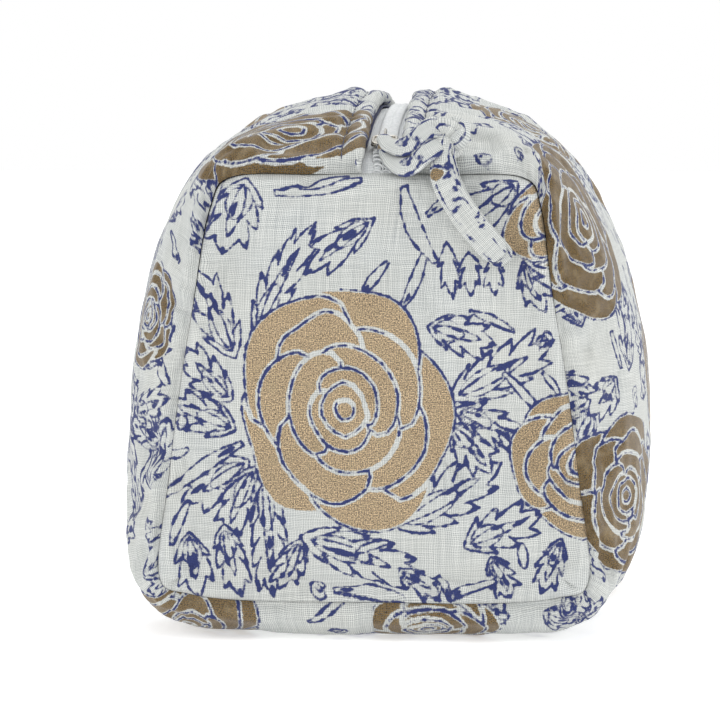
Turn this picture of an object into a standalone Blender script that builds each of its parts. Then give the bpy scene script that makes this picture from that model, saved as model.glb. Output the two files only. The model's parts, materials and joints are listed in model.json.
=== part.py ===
"""Padded cotton makeup bag with a zipped top.

The bag is a sewn sandwich of printed cloth, wadding and lining. Its length runs along Y, its zip runs along the
top over x = 0, and it rests on the flat of its base at z = 0. Each side wall leans out about a line along its
middle height, so the base, the two ends and the lower side walls stay while the two upper halves open.
"""

import math

import bmesh
import bpy
import numpy as np
from mathutils import Vector

MM = 0.001
COLLECTION = "makeup_bag"

# Driving dimensions, in metres
HALF_LENGTH = 110 * MM          # from the middle to each end seam
OUTER_CLOTH = 0.6 * MM          # printed cotton
WADDING = 3.0 * MM
LINING_CLOTH = 0.5 * MM
GAP = 0.3 * MM                  # between touching layers
TAPE_THICKNESS = 0.6 * MM
TOP_HEIGHT = 170 * MM           # top of the zip folds at mid length
END_TOP_HEIGHT = 154 * MM       # top of the zip folds at the end seams
HINGE_HALF_WIDTH = 86 * MM      # the line that each side wall leans out about
HINGE_HEIGHT = 80 * MM
END_BULGE = 6 * MM              # how far an end panel swells past its seam
SIDE_FULLNESS = 3.0             # how soon the side walls fill out from the end seams
BASE_FLAT = 0.84                # share of the length over which the base lies flat
FOLD_HALF_WIDTH = 7 * MM        # from the zip's centre line to each folded edge
TOP_SPAN = 18 * MM              # width of the section's last span, beside the zip
END_SETBACK = 0.25              # share of its depth by which each wrap layer stops short of the end seam
CUT_HALF_GAP = 0.3 * MM         # from the hinge line to the layers above and below it
SLIDER_Y = -96 * MM             # the slider's place with the zip closed
ZIP_HALF_LENGTH = 104.5 * MM

# Depth of each layer's outer face below the bag's outer face
WADDING_DEPTH = OUTER_CLOTH + GAP
LINING_DEPTH = WADDING_DEPTH + WADDING + GAP
WALL = LINING_DEPTH + LINING_CLOTH
TAPE_DEPTH = WALL + GAP

# Half of the cross-section, from the middle of the base round to the middle of the top, as (x, z) in mm:
# at mid length, at the end of the wrap, and the end panel's own outline. The sixth point is at hinge height.
MIDDLE_SECTION = [(0, 0), (30, 0), (55, 2.5), (76, 13), (83.5, 48), (84.5, 80), (77.5, 115), (60.5, 147.5),
                  (39.5, 163), (18, 168.5), (0, 170)]
END_SECTION = [(0, 5), (35, 5), (61, 6.5), (71.5, 19), (70.3, 50), (65, 80), (61, 110), (56, 142), (46, 153),
               (20, 154), (0, 154)]
END_PANEL = [(0, 12), (34, 12), (56, 14), (65.6, 21), (64.2, 50), (59.5, 80), (55.5, 107), (51, 134),
             (44, 143.8), (20, 145), (0, 145)]
HINGE_POINT = 5                 # the section point that lies at hinge height
SEGMENTS = len(MIDDLE_SECTION) - 1

# The zip lies on an arc whose centre is under the bag
ARC_SAG = TOP_HEIGHT - END_TOP_HEIGHT
ARC_RADIUS = (HALF_LENGTH**2 + ARC_SAG**2) / (2 * ARC_SAG)
ARC_CENTRE_Z = TOP_HEIGHT - ARC_RADIUS
ZIP_RADIUS = ARC_RADIUS - TAPE_DEPTH

COIL_RADIUS = 1.25 * MM
COIL_OFFSET = 1.45 * MM         # from the zip's centre line to each row's middle
COIL_SPREAD = 1.9 * MM          # how much wider the rows stand behind the slider
TAPE_INNER = 3.1 * MM
TAPE_OUTER = 16 * MM
TAPE_DIP = 1.2 * MM             # how far the tape's outer edge lies below the zip's middle line
STITCH_POINT = SEGMENTS - 0.72  # the section point that the topstitching runs along
STITCH_RISE = 0.65 * MM         # from the cloth's face to the thread's middle
STITCH_RADIUS = 0.25 * MM
STITCH_END = 3 * MM             # how far short of the end seams the topstitching stops

SLIDER_LENGTH = 11 * MM
SLIDER_WIDTH = 9 * MM
PLATE_THICKNESS = 0.9 * MM
PLATE_CLEARANCE = 0.35 * MM
POST_WIDTH = 1.5 * MM
POST_LENGTH = 2.2 * MM
POST_SETBACK = 0.3 * MM         # from the plates' front edge to the post
BRIDGE_RISE = 2.6 * MM
BRIDGE_WIDTH = 2.0 * MM
BRIDGE_SPAN = 6.5 * MM
BRIDGE_WALL = 0.9 * MM
BRIDGE_SINK = 0.3 * MM          # how far the bridge's legs are let into the top plate

EYE_WIRE = 0.45 * MM            # radius of the pull eye's wire
EYE_HALF_WIDTH = 3.6 * MM
EYE_LENGTH = 8 * MM
EYE_CORNER = 1.6 * MM
STRIP_WIDTH = 5.6 * MM
STRIP_THICKNESS = 1.0 * MM      # one folded layer of the cloth strip
STRIP_CLEARANCE = 0.35 * MM
# The strip's two layers between the eye and the knot, as (x, y, z) in mm
UPPER_ROUTE = [(1.2, -108.8, 153.6), (7.5, -113.5, 153.6)]
LOWER_ROUTE = [(1.0, -108.4, 150.6), (7.8, -113.7, 151.0)]
KNOT_CENTRE = np.array((21.5, -115.5, 156)) * MM
KNOT_RADII = np.array((5.5, 5.0, 4.6)) * MM
TAIL_WIDTH = 7.6 * MM
TAIL_THICKNESS = 2.0 * MM
# The strip's free end below the knot, as (x, y, z) in mm
TAIL_ROUTE = [(22.8, -118.6, 149.6), (25.8, -119.6, 144), (31, -119.8, 136.5), (37, -119.2, 129),
              (43, -118.4, 121.5)]

BINDING_START = WALL + 0.4 * MM
BINDING_WIDTH = 8 * MM
BINDING_SCALE = 0.965
BINDING_THICKNESS = 1.2 * MM


def reset_scene():
    for old in list(bpy.data.objects):
        bpy.data.objects.remove(old, do_unlink=True)


def make_collection(name):
    collection = bpy.data.collections.new(name)
    bpy.context.scene.collection.children.link(collection)
    return collection


def make_material(name, colour, roughness, metallic=0.0):
    material = bpy.data.materials.new(name)
    material.use_nodes = True
    shader = material.node_tree.nodes["Principled BSDF"]
    shader.inputs["Base Color"].default_value = (*colour, 1)
    shader.inputs["Roughness"].default_value = roughness
    shader.inputs["Metallic"].default_value = metallic
    return material


def add_object(name, data, material, collection, parent=None):
    piece = bpy.data.objects.new(name, data)
    collection.objects.link(piece)
    data.materials.append(material)
    if parent:
        piece.parent = parent
        piece.matrix_parent_inverse = parent.matrix_world.inverted()
    return piece


def make_pivot(name, place, collection):
    pivot = bpy.data.objects.new(name, None)
    pivot.matrix_world = pivot.matrix_world.Translation(place)
    collection.objects.link(pivot)
    return pivot


def arc_height(y, radius):
    """Height of the zip's arc, or of an arc at another radius about the same centre."""
    return ARC_CENTRE_Z + math.sqrt(radius**2 - y * y)


def smooth_point(points, t):
    """Point at t on a smooth curve through points that mirrors across x = 0 at both ends."""
    first = min(int(t), SEGMENTS - 1)
    t -= first
    whole = [(-points[1][0], points[1][1])] + list(points) + [(-points[-2][0], points[-2][1])]
    a, b, c, d = (np.array(p, dtype=float) for p in whole[first:first + 4])
    point = 0.5 * (2 * b + (c - a) * t + (2 * a - 5 * b + 4 * c - d) * t**2 + (3 * b - a - 3 * c + d) * t**3)
    return point * MM


def smooth_step(x):
    x = min(max(x, 0.0), 1.0)
    return x * x * (3 - 2 * x)


def wrap_point(t, y):
    """The wrap's outer face: t runs from 0 at the base's middle to SEGMENTS at the top, negative on the left."""
    side = -1 if t < 0 else 1
    t = abs(t)
    along = min(abs(y) / HALF_LENGTH, 1.0)
    side_fill = 1 - along**SIDE_FULLNESS
    base_fill = 1 - smooth_step((along - BASE_FLAT) / (1 - BASE_FLAT))
    top_fill = (arc_height(y, ARC_RADIUS) - END_TOP_HEIGHT) / ARC_SAG
    rise = base_fill + (side_fill - base_fill) * smooth_step((t - 2) / 2)
    rise += (top_fill - rise) * smooth_step((t - 6) / 2)
    middle = smooth_point(MIDDLE_SECTION, t)
    end = smooth_point(END_SECTION, t)
    x = end[0] + (middle[0] - end[0]) * side_fill
    z = max(end[1] + (middle[1] - end[1]) * rise, 0.0)
    return np.array((side * x, y, z))


def wrap_skin(t, y, depth):
    """A point at a depth below the wrap's outer face, measured square to it."""
    step = 0.02
    point = wrap_point(t, y)
    across = wrap_point(t + step, y) - wrap_point(t - step, y)
    along = wrap_point(t, y + step * MM * 10) - wrap_point(t, y - step * MM * 10)
    normal = np.cross(across, along)
    normal /= np.linalg.norm(normal)
    return point + normal * depth


def grid_mesh(name, rows):
    """A quad sheet through rows of points."""
    count = len(rows[0])
    vertices = [tuple(point) for row in rows for point in row]
    faces = []
    for r in range(len(rows) - 1):
        for c in range(count - 1):
            a = r * count + c
            faces.append((a, a + count, a + count + 1, a + 1))
    mesh = bpy.data.meshes.new(name)
    mesh.from_pydata(vertices, [], faces)
    mesh.update()
    return mesh


def solidify(piece, thickness, offset=-1):
    layer = piece.modifiers.new("thickness", "SOLIDIFY")
    layer.thickness = thickness
    layer.offset = offset
    layer.use_even_offset = True
    layer.use_rim = True
    return layer


def shade(mesh):
    mesh.shade_smooth()
    mesh.set_sharp_from_angle(angle=math.radians(50))


def wrap_layer(name, t_values, depth, thickness, material, collection, parent=None, cut_shift=None):
    """One layer of the wrap between two lines along its length; cut_shift lifts the rows at the cut lines."""
    rows = []
    inset = depth * END_SETBACK
    for y in np.linspace(-HALF_LENGTH + inset, HALF_LENGTH - inset, 11):
        row = [wrap_skin(t, y, depth) for t in t_values]
        if cut_shift:
            for index, lift in cut_shift:
                row[index] = row[index] + np.array((0, 0, lift))
        rows.append(row)
    mesh = grid_mesh(name, rows)
    piece = add_object(name, mesh, material, collection, parent)
    solidify(piece, thickness)
    return piece


def end_panel_layer(name, sign, depth, thickness, material, collection):
    """One layer of an end panel: rings that swell from the seam outline to the middle of the panel."""
    half = [smooth_point(END_PANEL, t) for t in np.linspace(0, SEGMENTS, 15)]
    outline = [(x, z) for x, z in half] + [(-x, z) for x, z in half[-2:0:-1]]
    centre = np.array((0.0, (END_PANEL[0][1] + END_PANEL[-1][1]) / 2 * MM))
    model = bmesh.new()
    rings = []
    for scale in (1.0, 0.82, 0.55, 0.27):
        y = HALF_LENGTH + END_BULGE * (1 - scale**2) - depth
        ring = [centre + (np.array(point) - centre) * scale for point in outline]
        rings.append([model.verts.new((x, sign * y, z)) for x, z in ring])
    middle = model.verts.new((0, sign * (HALF_LENGTH + END_BULGE - depth), centre[1]))
    count = len(outline)
    for outer, inner in zip(rings, rings[1:]):
        for i in range(count):
            j = (i + 1) % count
            model.faces.new((outer[i], outer[j], inner[j], inner[i]))
    for i in range(count):
        model.faces.new((rings[-1][i], rings[-1][(i + 1) % count], middle))
    if sign > 0:
        bmesh.ops.reverse_faces(model, faces=model.faces)
    base = list(model.faces)
    result = bmesh.ops.extrude_face_region(model, geom=base)
    for vertex in (v for v in result["geom"] if isinstance(v, bmesh.types.BMVert)):
        vertex.co.y -= sign * thickness
    bmesh.ops.reverse_faces(model, faces=base)
    bmesh.ops.recalc_face_normals(model, faces=model.faces)
    mesh = bpy.data.meshes.new(name)
    model.to_mesh(mesh)
    model.free()
    shade(mesh)
    return add_object(name, mesh, material, collection)


def zip_tape(name, sign, material, collection, parent):
    """The woven tape along one side of the zip, under that side's folded edge."""
    rows = []
    for y in zip_stations():
        spread = row_spread(y)
        z = arc_height(y, ZIP_RADIUS)
        rows.append([(sign * (TAPE_INNER + spread), y, z), (sign * TAPE_OUTER, y, z - TAPE_DIP)])
    mesh = grid_mesh(name, rows)
    if sign > 0:
        mesh.flip_normals()
    piece = add_object(name, mesh, material, collection, parent)
    solidify(piece, TAPE_THICKNESS)
    return piece


def zip_stations():
    """Places along the zip, closer together where the coil rows part."""
    near = np.linspace(-ZIP_HALF_LENGTH, SLIDER_Y + 4 * MM, 9)
    far = np.linspace(SLIDER_Y + 4 * MM, ZIP_HALF_LENGTH, 19)
    return np.concatenate((near, far[1:]))


def row_spread(y):
    """How far the coil rows have parted behind the slider."""
    return COIL_SPREAD * smooth_step((SLIDER_Y + 2 * MM - y) / (5 * MM))


def path_curve(name, points, radius, sides=2):
    curve = bpy.data.curves.new(name, "CURVE")
    curve.dimensions = "3D"
    spline = curve.splines.new("POLY")
    spline.points.add(len(points) - 1)
    for spot, point in zip(spline.points, points):
        spot.co = (*point, 1)
    curve.bevel_depth = radius
    curve.bevel_resolution = sides
    curve.use_fill_caps = True
    return curve


def zip_coil(name, sign, material, collection, parent):
    points = []
    for y in zip_stations():
        points.append((sign * (COIL_OFFSET + row_spread(y)), y, arc_height(y, ZIP_RADIUS)))
    return add_object(name, path_curve(name, points, COIL_RADIUS, 1), material, collection, parent)


def topstitch(name, sign, material, collection, parent):
    """The stitched line along a zip fold, a thread lying just above the cloth."""
    points = []
    for y in np.linspace(-HALF_LENGTH + STITCH_END, HALF_LENGTH - STITCH_END, 21):
        points.append(wrap_skin(sign * STITCH_POINT, y, -STITCH_RISE))
    return add_object(name, path_curve(name, points, STITCH_RADIUS, 0), material, collection, parent)


def seam_binding(name, sign, material, collection):
    """The bound seam allowance inside one end of the bag, a flat tape that stands in from the end seam."""
    half = [smooth_point(END_PANEL, t) for t in np.linspace(0, 7.5, 12)]
    outline = [(-x, z) for x, z in half[:0:-1]] + [(x, z) for x, z in half]
    centre_z = (END_PANEL[0][1] + END_PANEL[-1][1]) / 2 * MM
    rows = []
    for depth in (BINDING_START, BINDING_START + BINDING_WIDTH):
        y = sign * (HALF_LENGTH - depth)
        rows.append([(x * BINDING_SCALE, y, centre_z + (z - centre_z) * BINDING_SCALE) for x, z in outline])
    mesh = grid_mesh(name, rows)
    if sign > 0:
        mesh.flip_normals()
    piece = add_object(name, mesh, material, collection)
    solidify(piece, BINDING_THICKNESS)
    return piece


def slider_mesh(name, material, collection, cutters, parent):
    """Zip slider: two plates held apart by a wedge post, with a bridge on top for the pull eye."""
    z = arc_height(SLIDER_Y, ZIP_RADIUS)
    half_gap = COIL_RADIUS + PLATE_CLEARANCE
    shapes = []
    for sign in (1, -1):
        centre = z + sign * (half_gap + PLATE_THICKNESS / 2)
        shapes.append(("plate", (SLIDER_WIDTH, SLIDER_LENGTH, PLATE_THICKNESS), (0, SLIDER_Y, centre)))
    post_y = SLIDER_Y - SLIDER_LENGTH / 2 + POST_LENGTH / 2 + POST_SETBACK
    shapes.append(("post", (POST_WIDTH, POST_LENGTH, 2 * half_gap + PLATE_THICKNESS), (0, post_y, z)))
    top = z + half_gap + PLATE_THICKNESS
    leg = (BRIDGE_WIDTH, BRIDGE_WALL, BRIDGE_RISE)
    for sign in (1, -1):
        place = (0, SLIDER_Y + sign * BRIDGE_SPAN / 2, top + BRIDGE_RISE / 2 - BRIDGE_SINK)
        shapes.append(("leg", leg, place))
    crown = (BRIDGE_WIDTH * 1.1, BRIDGE_SPAN + BRIDGE_WALL * 1.1, BRIDGE_WALL)
    shapes.append(("crown", crown, (0, SLIDER_Y, top + BRIDGE_RISE - BRIDGE_SINK)))
    pieces = [box_mesh(label, size, place) for label, size, place in shapes]
    slope = math.asin(-SLIDER_Y / ZIP_RADIUS)
    body = add_object(name, pieces[0], material, collection, parent)
    for extra in pieces[1:]:
        tool = bpy.data.objects.new(name + "_" + extra.name, extra)
        cutters.objects.link(tool)
        tool.hide_render = True
        tool.display_type = "WIRE"
        join = body.modifiers.new("join", "BOOLEAN")
        join.operation = "UNION"
        join.object = tool
        tilt_about_slider(tool, slope, z)
    tilt_about_slider(body, slope, z)
    return body


def tilt_about_slider(piece, slope, z):
    """Lays a piece built level at the slider onto the arc's slope there."""
    centre = Vector((0, SLIDER_Y, z))
    for vertex in piece.data.vertices:
        offset = vertex.co - centre
        y = offset.y * math.cos(slope) - offset.z * math.sin(slope)
        up = offset.y * math.sin(slope) + offset.z * math.cos(slope)
        vertex.co = centre + Vector((offset.x, y, up))


def slider_frame():
    """The zip's middle line at the slider, and the directions forward along the slope and up from it."""
    slope = math.asin(-SLIDER_Y / ZIP_RADIUS)
    centre = np.array((0, SLIDER_Y, arc_height(SLIDER_Y, ZIP_RADIUS)))
    forward = np.array((0, -math.cos(slope), -math.sin(slope)))
    up = np.array((0, -math.sin(slope), math.cos(slope)))
    return centre, forward, up


def bridge_centre():
    """The middle of the hole under the slider's bridge, where the pull eye turns."""
    centre, _, up = slider_frame()
    hole = BRIDGE_RISE - BRIDGE_SINK - BRIDGE_WALL / 2
    return centre + up * (COIL_RADIUS + PLATE_CLEARANCE + PLATE_THICKNESS + hole / 2)


def pull_eye(name, material, collection, parent):
    """A wire ring through the bridge, with a straight bar at each end and rounded corners."""
    _, forward, _ = slider_frame()
    start = bridge_centre()
    points = []
    for cx, cy, first in ((1, 1, 0), (-1, 1, 1), (-1, 0, 2), (1, 0, 3)):
        middle_x = cx * (EYE_HALF_WIDTH - EYE_CORNER)
        middle_y = (EYE_LENGTH - EYE_CORNER) if cy else EYE_CORNER
        for step in range(4):
            angle = math.radians(90 * first + 30 * step)
            x = middle_x + EYE_CORNER * math.cos(angle)
            reach = middle_y + EYE_CORNER * math.sin(angle)
            points.append(start + np.array((x, 0, 0)) + forward * reach)
    curve = path_curve(name, points, EYE_WIRE, 1)
    curve.splines[0].use_cyclic_u = True
    return add_object(name, curve, material, collection, parent)


def ribbon(name, stations, thickness, material, collection, parent):
    """A flat strip through stations of (middle, width direction, width)."""
    rows = []
    for middle, direction, width in stations:
        middle = np.array(middle, dtype=float)
        direction = np.array(direction, dtype=float)
        direction *= width / 2 / np.linalg.norm(direction)
        rows.append([middle - direction, middle, middle + direction])
    mesh = grid_mesh(name, rows)
    piece = add_object(name, mesh, material, collection, parent)
    solidify(piece, thickness, 0)
    return piece


def smooth_path(points, per_span):
    """A smooth open path through points."""
    whole = [2 * points[0] - points[1]] + list(points) + [2 * points[-1] - points[-2]]
    path = []
    for a, b, c, d in zip(whole, whole[1:], whole[2:], whole[3:]):
        for i in range(per_span):
            t = i / per_span
            cubic = (2 * a - 5 * b + 4 * c - d) * t**2 + (3 * b - a - 3 * c + d) * t**3
            path.append(0.5 * (2 * b + (c - a) * t + cubic))
    return path + [points[-1]]


def pull_strip(name, material, collection, parent):
    """The cloth strip folded round the pull eye's front bar, both layers running across to the knot."""
    _, forward, up = slider_frame()
    bar = bridge_centre() + forward * EYE_LENGTH
    turn = EYE_WIRE + STRIP_CLEARANCE + STRIP_THICKNESS / 2
    knot_side = KNOT_CENTRE - np.array((KNOT_RADII[0] + GAP, 0, 0))
    lift = np.array((0, 0, STRIP_THICKNESS * 0.75))
    upper = [bar + up * turn] + [np.array(point) * MM for point in UPPER_ROUTE] + [knot_side + lift]
    lower = [bar - up * turn] + [np.array(point) * MM for point in LOWER_ROUTE] + [knot_side - lift]
    bend = [bar - forward * turn * math.cos(math.radians(angle)) + up * turn * math.sin(math.radians(angle))
            for angle in (60, 30, 0, -30, -60)]
    path = smooth_path(upper, 4)[::-1] + bend + smooth_path(lower, 4)
    stations = []
    for i, middle in enumerate(path):
        before = path[max(i - 1, 0)]
        after = path[min(i + 1, len(path) - 1)]
        along = (after - before) / np.linalg.norm(after - before)
        turned = min(max(middle[0] / STRIP_WIDTH, 0), 1)
        lean = np.array((1 - turned, turned, 0))
        direction = lean - along * lean.dot(along)
        stations.append((middle, direction, STRIP_WIDTH))
    return ribbon(name, stations, STRIP_THICKNESS, material, collection, parent)


def knot(name, material, collection, parent):
    mesh = bpy.data.meshes.new(name)
    model = bmesh.new()
    bmesh.ops.create_uvsphere(model, u_segments=14, v_segments=9, radius=1)
    bmesh.ops.scale(model, vec=KNOT_RADII, verts=model.verts)
    bmesh.ops.translate(model, vec=KNOT_CENTRE, verts=model.verts)
    model.to_mesh(mesh)
    model.free()
    shade(mesh)
    return add_object(name, mesh, material, collection, parent)


def pull_tail(name, material, collection, parent):
    """The free end of the strip, hanging over the front edge of the bag."""
    points = [np.array(point) * MM for point in TAIL_ROUTE]
    stations = []
    path = smooth_path(points, 3)
    for i, middle in enumerate(path):
        along = path[min(i + 1, len(path) - 1)] - path[max(i - 1, 0)]
        across = np.cross(along, (0, -1, 0.15))
        end = (len(path) - 1 - i) / (len(path) - 1)
        width = TAIL_WIDTH * (0.72 + 0.28 * smooth_step(end / 0.12)) * (0.8 + 0.2 * smooth_step((1 - end) / 0.3))
        stations.append((middle, across, width))
    return ribbon(name, stations, TAIL_THICKNESS, material, collection, parent)


def box_mesh(name, size, place):
    mesh = bpy.data.meshes.new(name)
    model = bmesh.new()
    bmesh.ops.create_cube(model, size=1)
    bmesh.ops.scale(model, vec=size, verts=model.verts)
    bmesh.ops.translate(model, vec=place, verts=model.verts)
    model.to_mesh(mesh)
    model.free()
    return mesh


def build():
    reset_scene()
    bag = make_collection(COLLECTION)
    cutters = make_collection("cutters")

    print_cloth = make_material("printed_cotton", (0.66, 0.68, 0.65), 0.9)
    wadding = make_material("wadding", (0.86, 0.86, 0.84), 1.0)
    lining = make_material("navy_lining", (0.03, 0.05, 0.15), 0.85)
    tape = make_material("zip_tape", (0.74, 0.76, 0.77), 0.8)
    nylon = make_material("zip_coil", (0.80, 0.81, 0.82), 0.45)
    nickel = make_material("nickel", (0.62, 0.61, 0.58), 0.3, 1.0)
    thread = make_material("thread", (0.06, 0.07, 0.12), 0.8)
    binding = make_material("seam_binding", (0.03, 0.05, 0.15), 0.85)

    layers = (
        ("outer", 0.0, OUTER_CLOTH, print_cloth),
        ("wadding", WADDING_DEPTH, WADDING, wadding),
        ("lining", LINING_DEPTH, LINING_CLOTH, lining),
    )
    fold_t = SEGMENTS - FOLD_HALF_WIDTH / TOP_SPAN
    side_pivots = {
        "left": make_pivot("left_side_pivot", (-HINGE_HALF_WIDTH, 0, HINGE_HEIGHT), bag),
        "right": make_pivot("right_side_pivot", (HINGE_HALF_WIDTH, 0, HINGE_HEIGHT), bag),
    }
    base_t = np.concatenate((np.linspace(-HINGE_POINT, -1, 9), (0,), np.linspace(1, HINGE_POINT, 9)))
    upper_t = np.linspace(HINGE_POINT, fold_t, 10)
    for layer, depth, thickness, material in layers:
        wrap_layer(layer + "_base", base_t, depth, thickness, material, bag,
                   cut_shift=((0, -CUT_HALF_GAP), (-1, -CUT_HALF_GAP)))
        for side, sign in (("left", -1), ("right", 1)):
            t_values = upper_t if sign > 0 else -upper_t[::-1]
            cut_row = 0 if sign > 0 else -1
            wrap_layer(layer + "_" + side, t_values, depth, thickness, material, bag, side_pivots[side],
                       cut_shift=((cut_row, CUT_HALF_GAP),))
        for end, sign in (("front", -1), ("rear", 1)):
            end_panel_layer(layer + "_" + end, sign, depth, thickness, material, bag)

    for end, sign in (("front", -1), ("rear", 1)):
        seam_binding("seam_binding_" + end, sign, binding, bag)

    for side, sign in (("left", -1), ("right", 1)):
        pivot = side_pivots[side]
        zip_tape("zip_tape_" + side, sign, tape, bag, pivot)
        zip_coil("zip_coil_" + side, sign, nylon, bag, pivot)
        topstitch("topstitch_" + side, sign, thread, bag, pivot)

    zip_pivot = make_pivot("zip_slide_pivot", (0, 0, ARC_CENTRE_Z), bag)
    slider_mesh("slider", nickel, bag, cutters, zip_pivot)
    pull_pivot = make_pivot("pull_pivot", bridge_centre(), bag)
    pull_eye("pull_eye", nickel, bag, pull_pivot)
    pull_strip("pull_strip", print_cloth, bag, pull_pivot)
    knot("pull_knot", print_cloth, bag, pull_pivot)
    pull_tail("pull_tail", print_cloth, bag, pull_pivot)


build()
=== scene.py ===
"""Padded block-printed cotton makeup bag with a zipped top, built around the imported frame."""

import json
import math

import bmesh
import bpy
import numpy as np
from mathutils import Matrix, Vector


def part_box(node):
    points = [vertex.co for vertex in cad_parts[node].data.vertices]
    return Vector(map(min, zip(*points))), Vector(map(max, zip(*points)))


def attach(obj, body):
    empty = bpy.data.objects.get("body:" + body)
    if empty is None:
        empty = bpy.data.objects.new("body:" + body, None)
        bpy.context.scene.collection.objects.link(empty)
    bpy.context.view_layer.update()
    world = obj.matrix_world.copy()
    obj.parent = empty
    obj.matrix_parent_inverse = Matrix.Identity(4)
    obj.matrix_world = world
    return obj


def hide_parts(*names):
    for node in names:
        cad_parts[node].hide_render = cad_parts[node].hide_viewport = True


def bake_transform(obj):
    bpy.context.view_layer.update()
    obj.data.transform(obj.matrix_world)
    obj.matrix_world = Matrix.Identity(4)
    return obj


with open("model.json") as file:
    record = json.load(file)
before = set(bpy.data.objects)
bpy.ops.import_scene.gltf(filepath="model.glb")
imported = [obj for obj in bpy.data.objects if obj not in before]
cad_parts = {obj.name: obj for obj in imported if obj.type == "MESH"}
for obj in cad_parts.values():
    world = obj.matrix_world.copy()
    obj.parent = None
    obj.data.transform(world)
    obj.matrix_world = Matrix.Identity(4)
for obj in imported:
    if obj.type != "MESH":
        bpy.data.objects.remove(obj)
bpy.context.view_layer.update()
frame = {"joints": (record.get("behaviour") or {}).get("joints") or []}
MM = 0.001

# The bag's main sizes, read from the frame (mm)
HALF_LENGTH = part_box("outer_base")[1].y / MM
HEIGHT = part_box("outer_left")[1].z / MM
SLIDER_Y = (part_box("slider")[0].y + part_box("slider")[1].y) / 2 / MM
JOINTS = {joint["name"]: joint for joint in frame["joints"]}
ARC_CENTRE_Z = JOINTS["zip_slide"]["pos_m"][2] / MM
BRIDGE = np.array(JOINTS["pull_lift"]["pos_m"]) / MM

# Half cross-sections from the middle of the base round to the middle of the top, as (x, z) in mm
MIDDLE_SECTION = [(0, 0), (30, 0), (56, 2.6), (80.2, 12.0), (84.7, 46), (84.9, 80), (77.6, 115),
                  (60.6, 147.5), (39.6, 163), (18, 168.5), (0, HEIGHT)]
END_TOP = 154
END_SECTION = [(0, 5), (35, 5), (61, 6.5), (71.5, 19), (70.3, 50), (65, 80), (61, 110), (56, 142), (46, 153),
               (20, END_TOP), (0, END_TOP)]
PANEL_LOW = 12
PANEL_HIGH = 145
PANEL_OUTLINE = [(0, PANEL_LOW), (34, PANEL_LOW), (57, 14), (66.8, 20), (63.6, 50), (59.7, 80), (55.3, 107),
                 (51, 134), (44.6, 143.8), (20, 144.6), (0, PANEL_HIGH)]
SEGMENTS = len(MIDDLE_SECTION) - 1

WALL = 4.7                      # thickness of the quilted wall
LINING_THICKNESS = 0.5
TAPE_THICKNESS = 0.6
PULL_THICKNESS = 2.2            # of the folded strip that the pull is made of
ARC_RADIUS = HEIGHT - ARC_CENTRE_Z
ZIP_RADIUS = ARC_RADIUS - WALL - 0.3
FOLD_HALF = 5.3                 # from the zip's centre line to each folded edge
FOLD_RADIUS = 2.3
STITCH_OFFSET = 6.6             # from a folded edge to its topstitching
PANEL_HALF = 62                 # from the end panel's middle to its seam, on average
PANEL_BULGE = 6.0
THREAD_PITCH = 0.52             # of the plain weave
CLOTH_STEP = 0.64               # between the wrap's points
PRINT_CELL = 0.38               # between the points of a print's grid
FINE_CELL = 0.3                 # and of the finer grids, on the front panel and the pull
STITCH_LENGTH = 2.5
STITCH_GAP = 0.6
COIL_PITCH = 1.25
CLOTH_FRAMES = 22               # that each cloth simulation runs for
SIDES = ((-1, "left"), (1, "right"))
ENDS = ((-1, "front"), (1, "rear"))


# ---------------------------------------------------------------- shape

def smooth_step(x):
    x = np.clip(x, 0, 1)
    return x * x * (3 - 2 * x)


def smooth_curve(points, t, mirrored=True):
    """Points at t, counted in control points, on a smooth curve through points.

    A mirrored curve meets its own reflection in x = 0 at both ends without a corner."""
    p = np.asarray(points, float)
    t = np.asarray(t, float)
    if mirrored:
        padded = np.concatenate((p[1:2] * (-1, 1), p, p[-2:-1] * (-1, 1)))
    else:
        padded = np.concatenate((2 * p[:1] - p[1:2], p, 2 * p[-1:] - p[-2:-1]))
    i = np.clip(np.floor(t).astype(int), 0, len(p) - 2)
    f = (t - i)[..., None]
    a, b, c, d = padded[i], padded[i + 1], padded[i + 2], padded[i + 3]
    return 0.5 * (2 * b + (c - a) * f + (2 * a - 5 * b + 4 * c - d) * f**2 + (3 * b - a - 3 * c + d) * f**3)


def unit(vectors):
    """Vectors scaled to length 1."""
    return vectors / np.maximum(np.linalg.norm(vectors, axis=-1, keepdims=True), 1e-9)


def running_length(path):
    """Distance along a path at each of its points."""
    return np.concatenate(([0], np.cumsum(np.linalg.norm(np.diff(path, axis=0), axis=-1))))


def arc_height(y, radius):
    """Height at y of an arc about the zip's centre."""
    return ARC_CENTRE_Z + np.sqrt(radius**2 - y * y)


def hump(x, middle, width):
    """1 at the middle, falling away smoothly on both sides."""
    return np.exp(-((x - middle) / width) ** 2)


def squared_off(x, power):
    """A power of x that keeps its sign."""
    return np.sign(x) * np.abs(x) ** power


def circle(count):
    """Points round a circle of radius 1."""
    a = np.linspace(0, math.tau, count, endpoint=False)
    return np.stack((np.cos(a), np.sin(a)), -1)


def half_round(x):
    """1 for x up to 0, falling to 0 at x = 1 along a quarter circle."""
    return np.sqrt(1 - np.clip(x, 0, 1) ** 2)


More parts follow.
